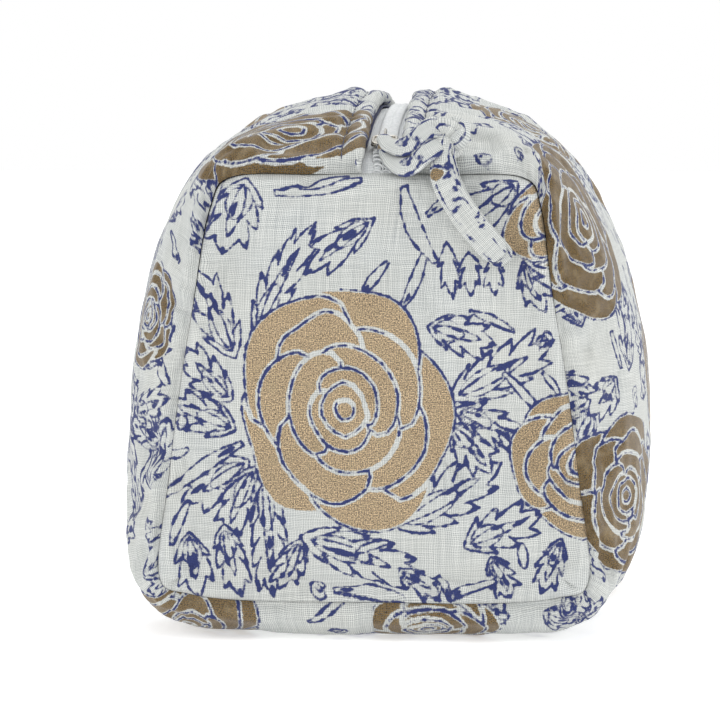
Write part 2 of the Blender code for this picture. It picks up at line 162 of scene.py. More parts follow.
def wrap_surface(t, y):
    """The wrap's outer face. t counts section points from the base's middle, negative on the left."""
    side = np.where(t < 0, -1.0, 1.0)
    t = np.abs(t)
    along = np.clip(np.abs(y) / HALF_LENGTH, 0, 1)
    middle = smooth_curve(MIDDLE_SECTION, t)
    end = smooth_curve(END_SECTION, t)
    panel = smooth_curve(PANEL_OUTLINE, t)
    side_fill = np.sqrt(1 - along**3)
    base_fill = half_round((along - 0.88) / 0.12)
    top_roll = half_round((along - 0.93) / 0.07)
    top_fill = (arc_height(y, ARC_RADIUS) - END_TOP) / (HEIGHT - END_TOP)
    low = base_fill + (side_fill - base_fill) * smooth_step((t - 2) / 2)
    low_z = panel[..., 1] + (middle[..., 1] - panel[..., 1]) * low
    top_z = end[..., 1] + (middle[..., 1] - end[..., 1]) * top_fill
    top_z = panel[..., 1] + (top_z - panel[..., 1]) * top_roll
    z = low_z + (top_z - low_z) * smooth_step((t - 6) / 2)
    x = panel[..., 0] + (middle[..., 0] - panel[..., 0]) * side_fill
    return np.stack((side * x, y + 0 * x, np.maximum(z, 0)), -1)


def grid_normals(points):
    """Unit normals of a grid of points, first axis across, second axis along."""
    across = np.gradient(points, axis=0)
    along = np.gradient(points, axis=1)
    return unit(np.cross(along, across))


def spread_ends(q):
    """Maps -1..1 to itself with more steps near both ends."""
    return np.sign(q) * (1 - (1 - np.abs(q)) ** 1.45)


def grid_arc_lengths(points):
    """Cloth coordinates of a grid: running length across and along, measured on its middle lines."""
    u = running_length(points[:, points.shape[1] // 2])
    v = running_length(points[points.shape[0] // 2])
    return u, v - v[-1] / 2


def add_object(name, mesh):
    """Puts a smooth-shaded mesh in the scene."""
    mesh.shade_smooth()
    piece = bpy.data.objects.new(name, mesh)
    bpy.context.scene.collection.objects.link(piece)
    return piece


def object_from_model(name, model):
    """Makes a bmesh, which is used up, into an object."""
    mesh = bpy.data.meshes.new(name)
    model.to_mesh(mesh)
    model.free()
    return add_object(name, mesh)


def skin_rings(name, rings, closed=False):
    """A surface laid over rings of points, with flat ends unless the last ring meets the first."""
    model = bmesh.new()
    made = [[model.verts.new(point * MM) for point in ring] for ring in rings]
    pairs = list(zip(made, made[1:])) + ([(made[-1], made[0])] if closed else [])
    for before, after in pairs:
        for i in range(len(before)):
            j = (i + 1) % len(before)
            model.faces.new((before[i], before[j], after[j], after[i]))
    if not closed:
        model.faces.new(made[0][::-1])
        model.faces.new(made[-1])
    bmesh.ops.recalc_face_normals(model, faces=model.faces)
    return object_from_model(name, model)


def merge(name, pieces, sharp=None):
    """Several pieces as one object, with its edges kept sharp past an angle in degrees."""
    model = bmesh.new()
    for piece in pieces:
        model.from_mesh(piece.data)
        bpy.data.objects.remove(piece)
    whole = object_from_model(name, model)
    if sharp:
        whole.data.set_sharp_from_angle(angle=math.radians(sharp))
    return whole


def read_points(piece):
    """A piece's points, in mm."""
    points = np.zeros(len(piece.data.vertices) * 3)
    piece.data.vertices.foreach_get("co", points)
    return points.reshape(-1, 3) / MM


def mesh_from_grid(name, points, flip=False):
    """An object over a grid of points, its faces outward or, with flip, the other way."""
    rows, columns = points.shape[:2]
    index = np.arange(rows * columns).reshape(rows, columns)
    a, b, c, d = index[:-1, :-1], index[1:, :-1], index[1:, 1:], index[:-1, 1:]
    quads = np.stack((a, b, c, d) if flip else (a, d, c, b), -1).reshape(-1, 4)
    mesh = bpy.data.meshes.new(name)
    mesh.vertices.add(rows * columns)
    mesh.vertices.foreach_set("co", (points.reshape(-1, 3) * MM).ravel())
    mesh.loops.add(quads.size)
    mesh.loops.foreach_set("vertex_index", quads.ravel())
    mesh.polygons.add(len(quads))
    mesh.polygons.foreach_set("loop_start", np.arange(0, quads.size, 4))
    mesh.update(calc_edges=True)
    mesh.validate()
    return add_object(name, mesh)


# ---------------------------------------------------------------- cloth simulation

def resample_weights(coarse, fine):
    """Matrix that takes values at evenly spaced coarse stations to positions fine (0 to 1), smoothly."""
    position = np.clip(fine, 0, 1) * (coarse - 1)
    i = np.clip(np.floor(position).astype(int), 0, coarse - 2)
    f = position - i
    weights = np.zeros((len(fine), coarse))
    cubic = (-0.5 * f + f**2 - 0.5 * f**3, 1 - 2.5 * f**2 + 1.5 * f**3,
             0.5 * f + 2 * f**2 - 1.5 * f**3, -0.5 * f**2 + 0.5 * f**3)
    for shift, value in zip((-1, 0, 1, 2), cubic):
        np.add.at(weights, (np.arange(len(fine)), np.clip(i + shift, 0, coarse - 1)), value)
    return weights


def resample(field, across, along):
    """A coarse grid of vectors read at finer stations, given from 0 to 1 in both directions."""
    rows = np.tensordot(resample_weights(field.shape[0], across), field, (1, 0))
    return np.tensordot(rows, resample_weights(field.shape[1], along), (1, 1)).transpose(0, 2, 1)


def blur(field, passes):
    """Smooths a grid of vectors, holding its border."""
    for _ in range(passes):
        inner = (field[:-2, 1:-1] + field[2:, 1:-1] + field[1:-1, :-2] + field[1:-1, 2:]) / 4
        field = field.copy()
        field[1:-1, 1:-1] = inner
    return field


def cloth_wrinkles(name, points, pinned, pressure, spare, broad, cap):
    """Inflates a padded panel as cloth and returns how far each point moved, in mm, up to a cap.

    spare is how much longer the cloth is than its place, which is what makes it pucker. The broad swelling is
    kept in part only, because the panel's shape already has it; the wrinkles are kept whole."""
    piece = mesh_from_grid(name, points)
    group = piece.vertex_groups.new(name="sewn")
    group.add([int(i) for i in np.flatnonzero(pinned.ravel())], 1.0, "REPLACE")
    cloth = piece.modifiers.new("cloth", "CLOTH")
    settings = cloth.settings
    settings.vertex_group_mass = "sewn"
    settings.use_pressure = True
    settings.uniform_pressure_force = pressure
    settings.effector_weights.gravity = 0
    settings.shrink_min = -spare
    settings.quality = 5
    settings.mass = 0.25
    settings.tension_stiffness = 15
    settings.compression_stiffness = 15
    settings.shear_stiffness = 6
    settings.bending_stiffness = 0.35
    settings.air_damping = 3
    cloth.point_cache.frame_start = 1
    cloth.point_cache.frame_end = CLOTH_FRAMES
    scene = bpy.context.scene
    scene.frame_end = CLOTH_FRAMES
    for step in range(1, CLOTH_FRAMES + 1):
        scene.frame_set(step)
    moved = read_points(piece.evaluated_get(bpy.context.evaluated_depsgraph_get()))
    scene.frame_set(1)
    bpy.data.objects.remove(piece)
    shift = moved.reshape(points.shape) - points
    wide = blur(shift, 14)
    shift = wide * broad + (shift - wide)
    length = np.linalg.norm(shift, axis=-1, keepdims=True)
    return shift * np.minimum(1, cap / np.maximum(length, 1e-6))


# ---------------------------------------------------------------- block print

class Print:
    """The printed pattern on one piece of cloth: distances in mm to the blue lines and to the gold shapes."""

    def __init__(self, low, high, cell, seed):
        self.low = np.array(low, float)
        self.cell = cell
        shape = np.ceil((np.array(high) - self.low) / cell).astype(int) + 1
        self.ink = np.full(shape, 9.0, np.float32)
        self.gold = np.full(shape, 9.0, np.float32)
        self.tone = np.zeros(shape, np.float32)
        self.random = np.random.default_rng(seed)

    def window(self, points, margin):
        """The part of the grid round some points, and its places as a column of x and a row of y."""
        low = np.maximum(((points.min(0) - margin - self.low) / self.cell).astype(int), 0)
        high = np.minimum(((points.max(0) + margin - self.low) / self.cell).astype(int) + 2, self.ink.shape)
        if (high - low < 1).any():
            return None, None, None
        x = self.low[0] + np.arange(low[0], high[0], dtype=np.float32) * self.cell
        y = self.low[1] + np.arange(low[1], high[1], dtype=np.float32) * self.cell
        return (slice(low[0], high[0]), slice(low[1], high[1])), x[:, None], y[None, :]

    @staticmethod
    def segment_distance(x, y, a, b):
        """Distance of each place to the segment from a to b, and how far along it the nearest point lies."""
        run_x, run_y = float(b[0] - a[0]), float(b[1] - a[1])
        x, y = x - float(a[0]), y - float(a[1])
        share = np.clip((x * run_x + y * run_y) / max(run_x**2 + run_y**2, 1e-9), 0, 1)
        return np.sqrt((x - share * run_x) ** 2 + (y - share * run_y) ** 2), share

    def line(self, points, width, taper=0.0):
        """A blue line; taper thins it towards both ends."""
        points = np.asarray(points, float)
        count = len(points) - 1
        for i in range(count):
            where, x, y = self.window(points[i:i + 2], 1.6)
            if where is None:
                continue
            distance, share = self.segment_distance(x, y, points[i], points[i + 1])
            half = width / 2 * (1 - taper * (2 * (i + share) / count - 1) ** 2)
            self.ink[where] = np.minimum(self.ink[where], distance - half)

    def signed_distance(self, outline, where, x, y):
        """Distance to a closed outline, negative inside, right up to 3 mm from it."""
        reach = 3.0
        inside = np.zeros((x.size, y.size), bool)
        nearest = np.full((x.size, y.size), reach, np.float32)

        def span(start, end, first):
            low = max(int((min(start, end) - reach - first) / self.cell), 0)
            return slice(low, int((max(start, end) + reach - first) / self.cell) + 2)

        for a, b in zip(outline, np.roll(outline, -1, axis=0)):
            i = span(a[0], b[0], float(x[0, 0]))
            j = span(a[1], b[1], float(y[0, 0]))
            distance, _ = self.segment_distance(x[i], y[:, j], a, b)
            nearest[i, j] = np.minimum(nearest[i, j], distance)
            crosses = np.flatnonzero((a[1] > y[0]) != (b[1] > y[0]))
            if len(crosses):
                j = slice(crosses[0], crosses[-1] + 1)
                inside[:, j] ^= x < a[0] + (y[:, j] - a[1]) * ((b[0] - a[0]) / (b[1] - a[1]))
        return np.where(inside, -nearest, nearest)

    def clear(self, outline, gap):
        """Leaves the cloth bare inside an outline, and the gold bare for a gap round it."""
        where, x, y = self.window(outline, gap + 1)
        if where is None:
            return None, None
        distance = self.signed_distance(outline, where, x, y)
        self.ink[where] = np.maximum(self.ink[where], -distance)
        self.gold[where] = np.maximum(self.gold[where], gap - distance)
        return where, distance

    def petal(self, outline, tone):
        """A gold petal with a bare edge and a blue line round most of it."""
        where, distance = self.clear(outline, 1.0)
        if where is None:
            return
        self.gold[where] = np.minimum(self.gold[where], distance + 0.62)
        self.tone[where] = np.where(distance < 2, tone, self.tone[where])
        start = self.random.integers(len(outline))
        drawn = int(len(outline) * self.random.uniform(0.80, 0.98))
        edge = np.roll(outline, start, axis=0)[:drawn]
        self.line(edge, self.random.uniform(0.6, 0.85), 0.4)

    def sample(self, u, v):
        """Values of the three fields at cloth coordinates u, v."""
        x = np.clip((u - self.low[0]) / self.cell, 0, self.ink.shape[0] - 1.001)
        y = np.clip((v - self.low[1]) / self.cell, 0, self.ink.shape[1] - 1.001)
        i, j = x.astype(int), y.astype(int)
        fx, fy = x - i, y - j
        found = []
        for field in (self.ink, self.gold, self.tone):
            low = field[i, j] * (1 - fy) + field[i, j + 1] * fy
            high = field[i + 1, j] * (1 - fy) + field[i + 1, j + 1] * fy
            found.append(low * (1 - fx) + high * fx)
        return found


def turn(points, angle, place):
    """Points turned by an angle in degrees and moved to a place."""
    a = math.radians(angle)
    matrix = np.array(((math.cos(a), math.sin(a)), (-math.sin(a), math.cos(a))))
    return np.asarray(points, float) @ matrix + place


def open_line(points, steps):
    """A smooth line through points, with steps between each two."""
    return smooth_curve(points, np.arange((len(points) - 1) * steps + 1) / steps, mirrored=False)


# A rose's rings of petals from the outside in: how many, the reach of their lips and of their feet as shares
# of the rose's half size, and the angle that each spans in degrees
ROSE_RINGS = ((5, 1.00, 0.40, 104), (5, 0.77, 0.30, 96), (3, 0.53, 0.18, 150), (2, 0.34, 0.10, 190))


def draw_rose(cloth, place, size, angle, tone=0.0):
    """An open rose seen from above: rings of broad petals laid inwards, then a curled heart."""
    random = cloth.random
    place = np.array(place, float)
    half = np.array(size, float) / 2
    s = np.linspace(0, 1, 17)
    for count, reach, foot, span in ROSE_RINGS:
        start = random.uniform(0, 360)
        for k in range(count):
            lip = 0.70 + 0.30 * np.sin(math.pi * s) ** 0.5 + 0.05 * s
            depth = random.uniform(0.015, 0.05)
            lip = lip + depth * np.sin(math.tau * (s * random.uniform(1.2, 2.2) + random.random()))
            sweep = span * random.uniform(0.92, 1.1)
            heading = np.radians(start + k * 360 / count + random.uniform(-9, 9) + (s - 0.5) * sweep)
            radius = np.concatenate((reach * lip, np.full(5, foot)))
            heading = np.concatenate((heading, np.linspace(heading[-1], heading[0], 5)))
            outline = np.stack((np.cos(heading), np.sin(heading)), -1) * radius[:, None]
            cloth.petal(turn(outline * half, angle, place), tone)
    for radius in (0.21, 0.085):
        ring = circle(14) * radius
        ring *= 1 + random.uniform(-0.08, 0.08, (14, 1))
        cloth.petal(turn(ring * half, angle, place), tone)


def leaf_outline(length, width, teeth, random, bend):
    """A leaf with sharp teeth swept forwards, its stalk at the origin and its tip towards +y."""
    def edge(side):
        points = []
        for k in range(teeth):
            s = (k + 0.95) / (teeth + 0.75)
            half = width / 2 * math.sin(math.pi * (0.16 + 0.68 * s)) ** 0.8
            tip = half * random.uniform(1.02, 1.22)
            points.append((side * tip, (s + random.uniform(0.05, 0.09)) * length))
            notch = half * random.uniform(0.50, 0.64)
            points.append((side * notch, (s - random.uniform(0.0, 0.03)) * length))
        return points

    outline = np.array([(-0.02 * width, 0)] + edge(-1) + [(0, length)] + edge(1)[::-1] + [(0.02 * width, 0)])
    outline[:, 0] += bend * (outline[:, 1] / length) ** 2 * length
    return outline


def soften(outline, bow, steps):
    """Straight runs between corners, each bowed a little."""
    s = (np.arange(steps) / steps)[None, :, None]
    a, b = outline[:-1, None], outline[1:, None]
    across = np.stack((a[..., 1] - b[..., 1], b[..., 0] - a[..., 0]), -1) * bow
    points = a + (b - a) * s + across * np.sin(math.pi * s)
    return np.concatenate((points.reshape(-1, 2), outline[-1:]))


def draw_leaf(cloth, place, length, angle, width, teeth, bend):
    """A serrated leaf in blue outline, with loops round its midrib and dark dabs along it."""
    random = cloth.random
    width = width or length * 0.52
    place = np.array(place, float)
    outline = leaf_outline(length, width, teeth, random, bend)
    cloth.clear(turn(outline, angle, place), 0.4)
    cloth.line(turn(soften(outline, random.uniform(0.04, 0.10), 5), angle, place), 0.68)
    for corner in turn(outline[1:-1:2], angle, place):
        if random.random() < 0.55:
            cloth.line([corner, corner + (place - corner) * 0.09], random.uniform(1.0, 1.5), 0.3)
    if width < 8:
        return
    loops = ((0.13, random.uniform(0.68, 0.86), 0.55), (0.27, random.uniform(0.45, 0.6), 0.45))
    for share, reach, thick in loops:
        s = np.linspace(0.08, reach, 10)
        half = width * share * np.clip(np.sin(math.pi * (s - s[0]) / (s[-1] - s[0])), 0, 1) ** 0.6
        rib = np.stack((bend * s**2 * length, s * length), -1)
        across = np.stack((half, 0 * s), -1)
        for line in (rib - across, rib + across):
            cloth.line(turn(line, angle, place), thick)
    # dark dabs along the midrib and beside it
    for _ in range(random.integers(1, 4)):
        s = random.uniform(0.2, 0.7)
        start = np.array((bend * s**2 * length + width * random.uniform(-0.14, 0.14), s * length))
        reach = np.array((bend * s * length * 0.2, length * random.uniform(0.10, 0.22)))
        cloth.line(turn([start, start + reach], angle, place), random.uniform(1.0, 1.9), 0.6)


def draw_blade(cloth, place, length, angle, width, bend):
    """A slender leaf or bud: a long loop with one dark end."""
    s = np.linspace(0, 1, 12)
    half = width / 2 * np.sin(np.pi * np.clip(s, 0.06, 0.94)) ** 0.5
    middle = np.stack((bend * s**2 * length, s * length), -1)
    left = middle - np.stack((half, 0 * s), -1)
    right = middle + np.stack((half, 0 * s), -1)
    loop = np.concatenate((left, right[::-1], left[:1]))
    cloth.clear(turn(loop, angle, place), 0.3)
    cloth.line(turn(loop, angle, place), 0.66)
    if width > 2.4 and cloth.random.random() < 0.5:
        cloth.line(turn(middle[1:4], angle, place), width * 0.4, 0.7)


def draw_curl(cloth, place, size, angle):
    """A coiled tendril with a stem."""
    turns = 1.3
    a = np.linspace(0, turns * math.tau, int(18 * turns))
    radius = size * (0.16 + 0.34 * a / a[-1])
    coil = np.stack((np.cos(a) * radius, np.sin(a) * radius), -1)
    stem = coil[-1] + np.stack((np.linspace(0, 0.5, 6) ** 2 * size, np.linspace(0, -1.0, 6) * size), -1)
    cloth.line(turn(np.concatenate((coil, stem[1:])), angle, place), 0.7, 0.3)


def draw_sprig(cloth, place, size, angle):
    """Three leaves that fan from one stalk."""
    random = cloth.random
    for turn_by, share in ((-48, 0.72), (44, 0.78), (0, 1.0)):
        length = size * share * random.uniform(0.9, 1.1)
        draw_leaf(cloth, place, length, angle + turn_by + random.uniform(-8, 8), size * share * 0.48,
                  int(random.integers(2, 4)), random.uniform(-0.12, 0.12))


def scatter(cloth, low, high, keep_clear):
    """Fills the cloth between the roses with sprigs, leaves, blades and curls."""
    random = cloth.random
    spacing = 13.5
    for x in np.arange(low[0], high[0], spacing):
        for y in np.arange(low[1], high[1], spacing):
            spot = np.array((x, y)) + random.uniform(-0.3, 0.3, 2) * spacing
            if any(np.linalg.norm((spot - centre) / radius) < 0.95 for centre, radius in keep_clear):
                continue
            kind = random.random()
            heading = random.uniform(0, 360)
            if kind < 0.16:
                draw_sprig(cloth, spot, random.uniform(14, 20), heading)
            elif kind < 0.62:
                draw_leaf(cloth, spot, random.uniform(15, 26), heading, None, int(random.integers(2, 5)),
                          random.uniform(-0.2, 0.2))
            elif kind < 0.88:
                draw_blade(cloth, spot, random.uniform(9, 20), heading, random.uniform(2.2, 4.2),
                           random.uniform(-0.3, 0.3))
            else:
                draw_curl(cloth, spot, random.uniform(5, 9), heading)


# ---------------------------------------------------------------- materials

def srgb(r, g, b):
    """A display colour, 0 to 255, as the linear colour that shaders take."""
    return tuple(c / 12.92 if c <= 0.04045 else ((c + 0.055) / 1.055) ** 2.4
                 for c in (r / 255, g / 255, b / 255)) + (1.0,)


class Shader:
    """A material under construction, with short ways to add its nodes."""

    def __init__(self, name, **constants):
        self.material = bpy.data.materials.new(name)
        self.material.use_nodes = True
        self.nodes = self.material.node_tree.nodes
        self.links = self.material.node_tree.links
        self.surface = self.nodes["Principled BSDF"]
        for socket, value in constants.items():
            self.surface.inputs[socket.replace("_", " ")].default_value = value

    def put(self, value, socket):
        if isinstance(value, bpy.types.NodeSocket):
            self.links.new(value, socket)
        else:
            socket.default_value = value

    def node(self, kind, *values, **named):
        """Adds a node with values on its first sockets, and on any that are named."""
        node = self.nodes.new("ShaderNode" + kind)
        for value, socket in zip(values, node.inputs):
            self.put(value, socket)
        for socket, value in named.items():
            self.put(value, node.inputs[socket])
        return node

    def math(self, operation, *values):
        node = self.node("Math", *values)
        node.operation = operation
        return node.outputs[0]

    def times(self, a, b):
        return self.math("MULTIPLY", a, b)

    def plus(self, a, b):
        return self.math("ADD", a, b)

    def minus(self, a, b):
        return self.math("SUBTRACT", a, b)

    def attribute(self, name, output="Fac"):
        node = self.node("Attribute")
        node.attribute_name = name
        return node.outputs[output]

    def scaled(self, vector, scale):
        node = self.node("VectorMath", vector, scale)
        node.operation = "MULTIPLY"
        return node.outputs[0]

    def noise(self, vector, scale, detail=2.0, roughness=0.5):
        node = self.node("TexNoise", Vector=vector, Scale=scale, Detail=detail, Roughness=roughness)
        return node.outputs["Fac"]

    def mix(self, share, a, b):
        node = self.node("Mix", share)
        node.data_type = "RGBA"
        self.put(a, node.inputs[6])
        self.put(b, node.inputs[7])
        return node.outputs[2]

    def ramp(self, value, low, high):
        """0 at low, 1 at high."""
        return self.node("MapRange", value, low, high).outputs[0]

    def bump(self, height, strength, distance):
        node = self.node("Bump", Strength=strength, Distance=distance, Height=height)
        self.set("Normal", node.outputs[0])

    def set(self, socket, value):
        self.put(value, self.surface.inputs[socket])


def weave(shader, coordinates, pitch):
    """Height of a plain weave, 0 in its gaps to 1 on top of a thread, and the tones of its threads."""
    split = shader.node("SeparateXYZ", coordinates)
    drift = shader.noise(shader.scaled(coordinates, (0.09, 0.09, 0.09)), 1.0, 2)
    waver = shader.times(shader.minus(drift, 0.5), 2.4)
    waves = []
    for axis in (0, 1):
        place = shader.plus(split.outputs[axis], waver)
        waves.append(shader.math("SINE", shader.times(place, math.pi / pitch)))
    u, v = waves
    warp = shader.math("ABSOLUTE", u)
    weft = shader.math("ABSOLUTE", v)
    over = shader.ramp(shader.times(u, v), -0.25, 0.25)
    both = shader.times(warp, weft)
    either = shader.math("MAXIMUM", warp, weft)
    lift = shader.plus(shader.times(both, 0.45), shader.times(either, 0.55))
    lift = shader.times(lift, shader.plus(shader.times(over, 0.2), 0.8))
    height = shader.math("POWER", lift, 0.8)
    warp_tone = shader.noise(shader.scaled(coordinates, (1.3 / pitch, 0.05, 1)), 1.0, 1)
    weft_tone = shader.noise(shader.scaled(coordinates, (0.05, 1.3 / pitch, 1)), 1.0, 1)
    return height, shader.plus(shader.times(warp_tone, 0.5), shader.times(weft_tone, 0.5))


def printed_cotton():
    shader = Shader("printed_cotton", Sheen_Weight=0.10, Sheen_Roughness=0.5, Specular_IOR_Level=0.25)
    cloth = shader.attribute("cloth", "Vector")
    height, tones = weave(shader, cloth, THREAD_PITCH)
    # gaps runs from 0 in the weave's gaps to 1 on top of the threads; below it paints shade into the gaps
    gaps = shader.ramp(height, 0.18, 0.72)

    # off-white cotton, with thread slubs, painted shade in the weave's gaps, and a little unevenness
    thread = shader.mix(shader.ramp(tones, 0.32, 0.68), srgb(180, 184, 183), srgb(224, 226, 222))
    base = shader.mix(gaps, srgb(94, 100, 106), thread)
    stain = shader.ramp(shader.noise(cloth, 0.035, 2), 0.35, 0.75)
    base = shader.mix(shader.times(stain, 0.25), base, srgb(198, 196, 184))

    # gold pigment, mottled, thinner in the weave's gaps and darkened there with painted shade, browner where
    # the tone says so
    speck = shader.noise(cloth, 2.3, 3, 0.75)
    patch = shader.noise(cloth, 0.22, 3)
    tone = shader.attribute("tone")
    grain = shader.ramp(speck, 0.40, 0.60)
    light_gold = shader.mix(grain, srgb(82, 72, 56), srgb(226, 198, 158))
    dark_gold = shader.mix(grain, srgb(40, 31, 13), srgb(131, 103, 53))
    gold_colour = shader.mix(tone, light_gold, dark_gold)
    gold_colour = shader.mix(shader.times(shader.ramp(patch, 0.50, 0.72), 0.4), gold_colour,
                             srgb(174, 156, 122))
    # painted shade: the gold darkens in the weave's gaps
    gold_colour = shader.mix(gaps, srgb(84, 75, 60), gold_colour)
    ragged = shader.times(shader.minus(shader.noise(cloth, 1.1, 3, 0.65), 0.5), 0.9)
    gold_edge = shader.plus(shader.attribute("gold"), ragged)
    gold = shader.ramp(gold_edge, 0.14, -0.14)
    worn = shader.ramp(shader.times(speck, gaps), 0.10, 0.30)
    gold = shader.times(gold, shader.plus(shader.times(worn, 0.35), 0.65))

    # indigo lines, broken and blotted by the block
    breaks = shader.minus(shader.noise(cloth, 0.33, 4, 0.62), 0.5)
    ink_edge = shader.plus(shader.attribute("ink"), shader.times(breaks, 1.75))
    ink_edge = shader.plus(ink_edge, shader.times(ragged, 0.45))
    ink = shader.times(shader.ramp(ink_edge, 0.19, -0.09), 0.97)
    ink_colour = shader.mix(shader.ramp(speck, 0.25, 0.75), srgb(15, 23, 68), srgb(42, 56, 118))

    colour = shader.mix(gold, base, gold_colour)
    colour = shader.mix(ink, colour, ink_colour)
    shader.set("Base Color", colour)
    shader.set("Metallic", shader.times(gold, 0.30))
    shader.set("Roughness", shader.minus(0.9, shader.times(gold, 0.38)))
    fine = shader.plus(height, shader.times(speck, 0.35))
    shader.bump(fine, 0.55, 0.16 * MM)
    return shader.material


def plain_cloth(name, dark, light, pitch, strength=0.5, by_place=False):
    """Unprinted cloth, its weave laid by the cloth coordinates or, where a piece has none, by place."""
    shader = Shader(name, Roughness=0.85, Sheen_Weight=0.15, Sheen_Roughness=0.5, Specular_IOR_Level=0.25)
    if by_place:
        x, y, z = shader.node("SeparateXYZ", shader.node("TexCoord").outputs["Object"]).outputs
        join = shader.node("CombineXYZ", shader.plus(x, z), y)
        cloth = shader.scaled(join.outputs[0], (1000, 1000, 1000))
    else:
        cloth = shader.attribute("cloth", "Vector")
    height, tones = weave(shader, cloth, pitch)
    # painted shade: the colour darkens in the weave's gaps, and also varies with a random thread tone
    shade = shader.times(height, shader.ramp(tones, 0.2, 0.7))
    shader.set("Base Color", shader.mix(shader.ramp(shade, 0.1, 0.8), dark, light))
    shader.bump(height, strength, 0.12 * MM)
    return shader.material


def object_shader(name, **constants):
    shader = Shader(name, **constants)
    return shader, shader.node("TexCoord").outputs["Object"]


def nylon():
    shader, place = object_shader("zip_coil_nylon", Roughness=0.38, Subsurface_Weight=0.15)
    shader.set("Subsurface Radius", (MM, MM, MM))
    dirt = shader.ramp(shader.noise(place, 900, 3), 0.3, 0.7)
    shader.set("Base Color", shader.mix(dirt, srgb(214, 217, 218), srgb(236, 238, 238)))
    shader.bump(shader.noise(place, 5000, 2), 0.2, 0.05 * MM)
    return shader.material


def nickel():
    shader, place = object_shader("nickel_plate", Metallic=1.0, Specular_IOR_Level=0.5)
    smear = shader.noise(place, 600, 4, 0.6)
    plate = shader.mix(shader.ramp(smear, 0.3, 0.7), srgb(176, 172, 162), srgb(214, 211, 203))
    shader.set("Base Color", plate)
    shader.set("Roughness", shader.plus(shader.times(smear, 0.22), 0.16))
    shader.bump(shader.noise(place, 2500, 3), 0.12, 0.05 * MM)
    return shader.material


def thread_material():
    shader, place = object_shader("sewing_thread", Roughness=0.7, Sheen_Weight=0.2)
    wave = shader.node("TexWave", Vector=place, Scale=700)
    wave.bands_direction = "DIAGONAL"
    twist = wave.outputs["Fac"]
    # painted shade: the twist's diagonal bands darken the navy thread in its grooves
    shader.set("Base Color", shader.mix(twist, srgb(30, 32, 52), srgb(84, 88, 112)))
    shader.bump(twist, 0.5, 0.08 * MM)
    return shader.material


PRINTED = printed_cotton()
LINING = plain_cloth("navy_lining", srgb(14, 18, 44), srgb(44, 54, 104), 0.7)
BINDING = plain_cloth("navy_binding", srgb(12, 15, 38), srgb(38, 46, 92), 0.9, by_place=True)
TAPE = plain_cloth("zip_tape_weave", srgb(196, 200, 202), srgb(236, 238, 238), 0.55, strength=0.6)
NYLON = nylon()
NICKEL = nickel()
THREAD = thread_material()


# ---------------------------------------------------------------- pieces

def set_cloth(piece, u, v, cloth_print=None):
    """Stores the cloth coordinates, and the print where there is one, on every point of a piece."""
    mesh = piece.data
    coordinates = np.stack((u, v, 0 * u), -1).astype(np.float32)
    attribute = mesh.attributes.new("cloth", "FLOAT_VECTOR", "POINT")
    attribute.data.foreach_set("vector", coordinates.ravel())
    if cloth_print is not None:
        for name, values in zip(("ink", "gold", "tone"), cloth_print.sample(u, v)):
            attribute = mesh.attributes.new(name, "FLOAT", "POINT")
            attribute.data.foreach_set("value", values.astype(np.float32))


PIECES = []


def finish_piece(piece, material, body=None, replaced=()):
    """Gives a piece its material, the body it rides on and the frame's nodes that it replaces."""
    PIECES.append(piece)
    piece.data.materials.append(material)
    if body:
        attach(piece, body)
    if replaced:
        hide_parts(*replaced)


def thicken(piece, thickness, offset):
    """Gives a sheet its thickness, on the side that offset says."""
    layer = piece.modifiers.new("thickness", "SOLIDIFY")
    layer.thickness = thickness * MM
    layer.offset = offset
    shaped = piece.evaluated_get(bpy.context.evaluated_depsgraph_get())
    mesh = bpy.data.meshes.new_from_object(shaped)
    piece.modifiers.clear()
    piece.data = mesh


def mouth_weight(points):
    """How far a point goes with its opening side: nothing low down or at the sewn ends, all along the zip."""
    high = smooth_step((points[:, 2] - 72) / 58)
    free = smooth_step((HALF_LENGTH - 4 - np.abs(points[:, 1])) / 62)
    return high * free


def opens_with(piece):
    """Bakes a piece's placement into its points and works out how far each point would go with its side of
    the mouth; nothing is done with these weights.
    """
    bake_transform(piece)
    weights = mouth_weight(read_points(piece)).astype(np.float32)


# the middle section's running length from the middle of the base, and where on it the zip fold starts
FINE_T = np.linspace(0, SEGMENTS, 2001)
SECTION_LINE = smooth_curve(MIDDLE_SECTION, FINE_T)
SECTION_LENGTH = running_length(SECTION_LINE)
UPPER = FINE_T > SEGMENTS / 2
FOLD_START = np.interp(FOLD_HALF + FOLD_RADIUS, SECTION_LINE[UPPER][::-1, 0], SECTION_LENGTH[UPPER][::-1])


def section_t(length):
    """Section point at a running length from the middle of the base."""
    return np.interp(length, SECTION_LENGTH, FINE_T)


def uneven(x, seed, wavelength):
    """A smooth irregular wave of about one unit, made of a few sines."""
    random = np.random.default_rng(seed)
    total = 0
    for share in (0.55, 1.0, 1.7, 2.9):
        total = total + np.sin(math.tau * x / wavelength * share + random.uniform(0, math.tau)) / (1 + share)
    return total


def simulate_wrap():
    """Cloth displacements of the whole wrap, on an even grid of section length and end-to-end place."""
    across, along = 124, 60
    length = np.linspace(-FOLD_START, FOLD_START, across)
    q = np.linspace(-1, 1, along)
    y = spread_ends(q) * HALF_LENGTH
    points = wrap_surface(section_t(np.abs(length))[:, None] * np.sign(length)[:, None], y[None, :])
    pinned = np.zeros((across, along), bool)
    pinned[[0, -1]] = True
    pinned[:, [0, -1]] = True
    return cloth_wrinkles("wrap_cloth", points, pinned, pressure=5.0, spare=0.045, broad=0.04, cap=4.0)


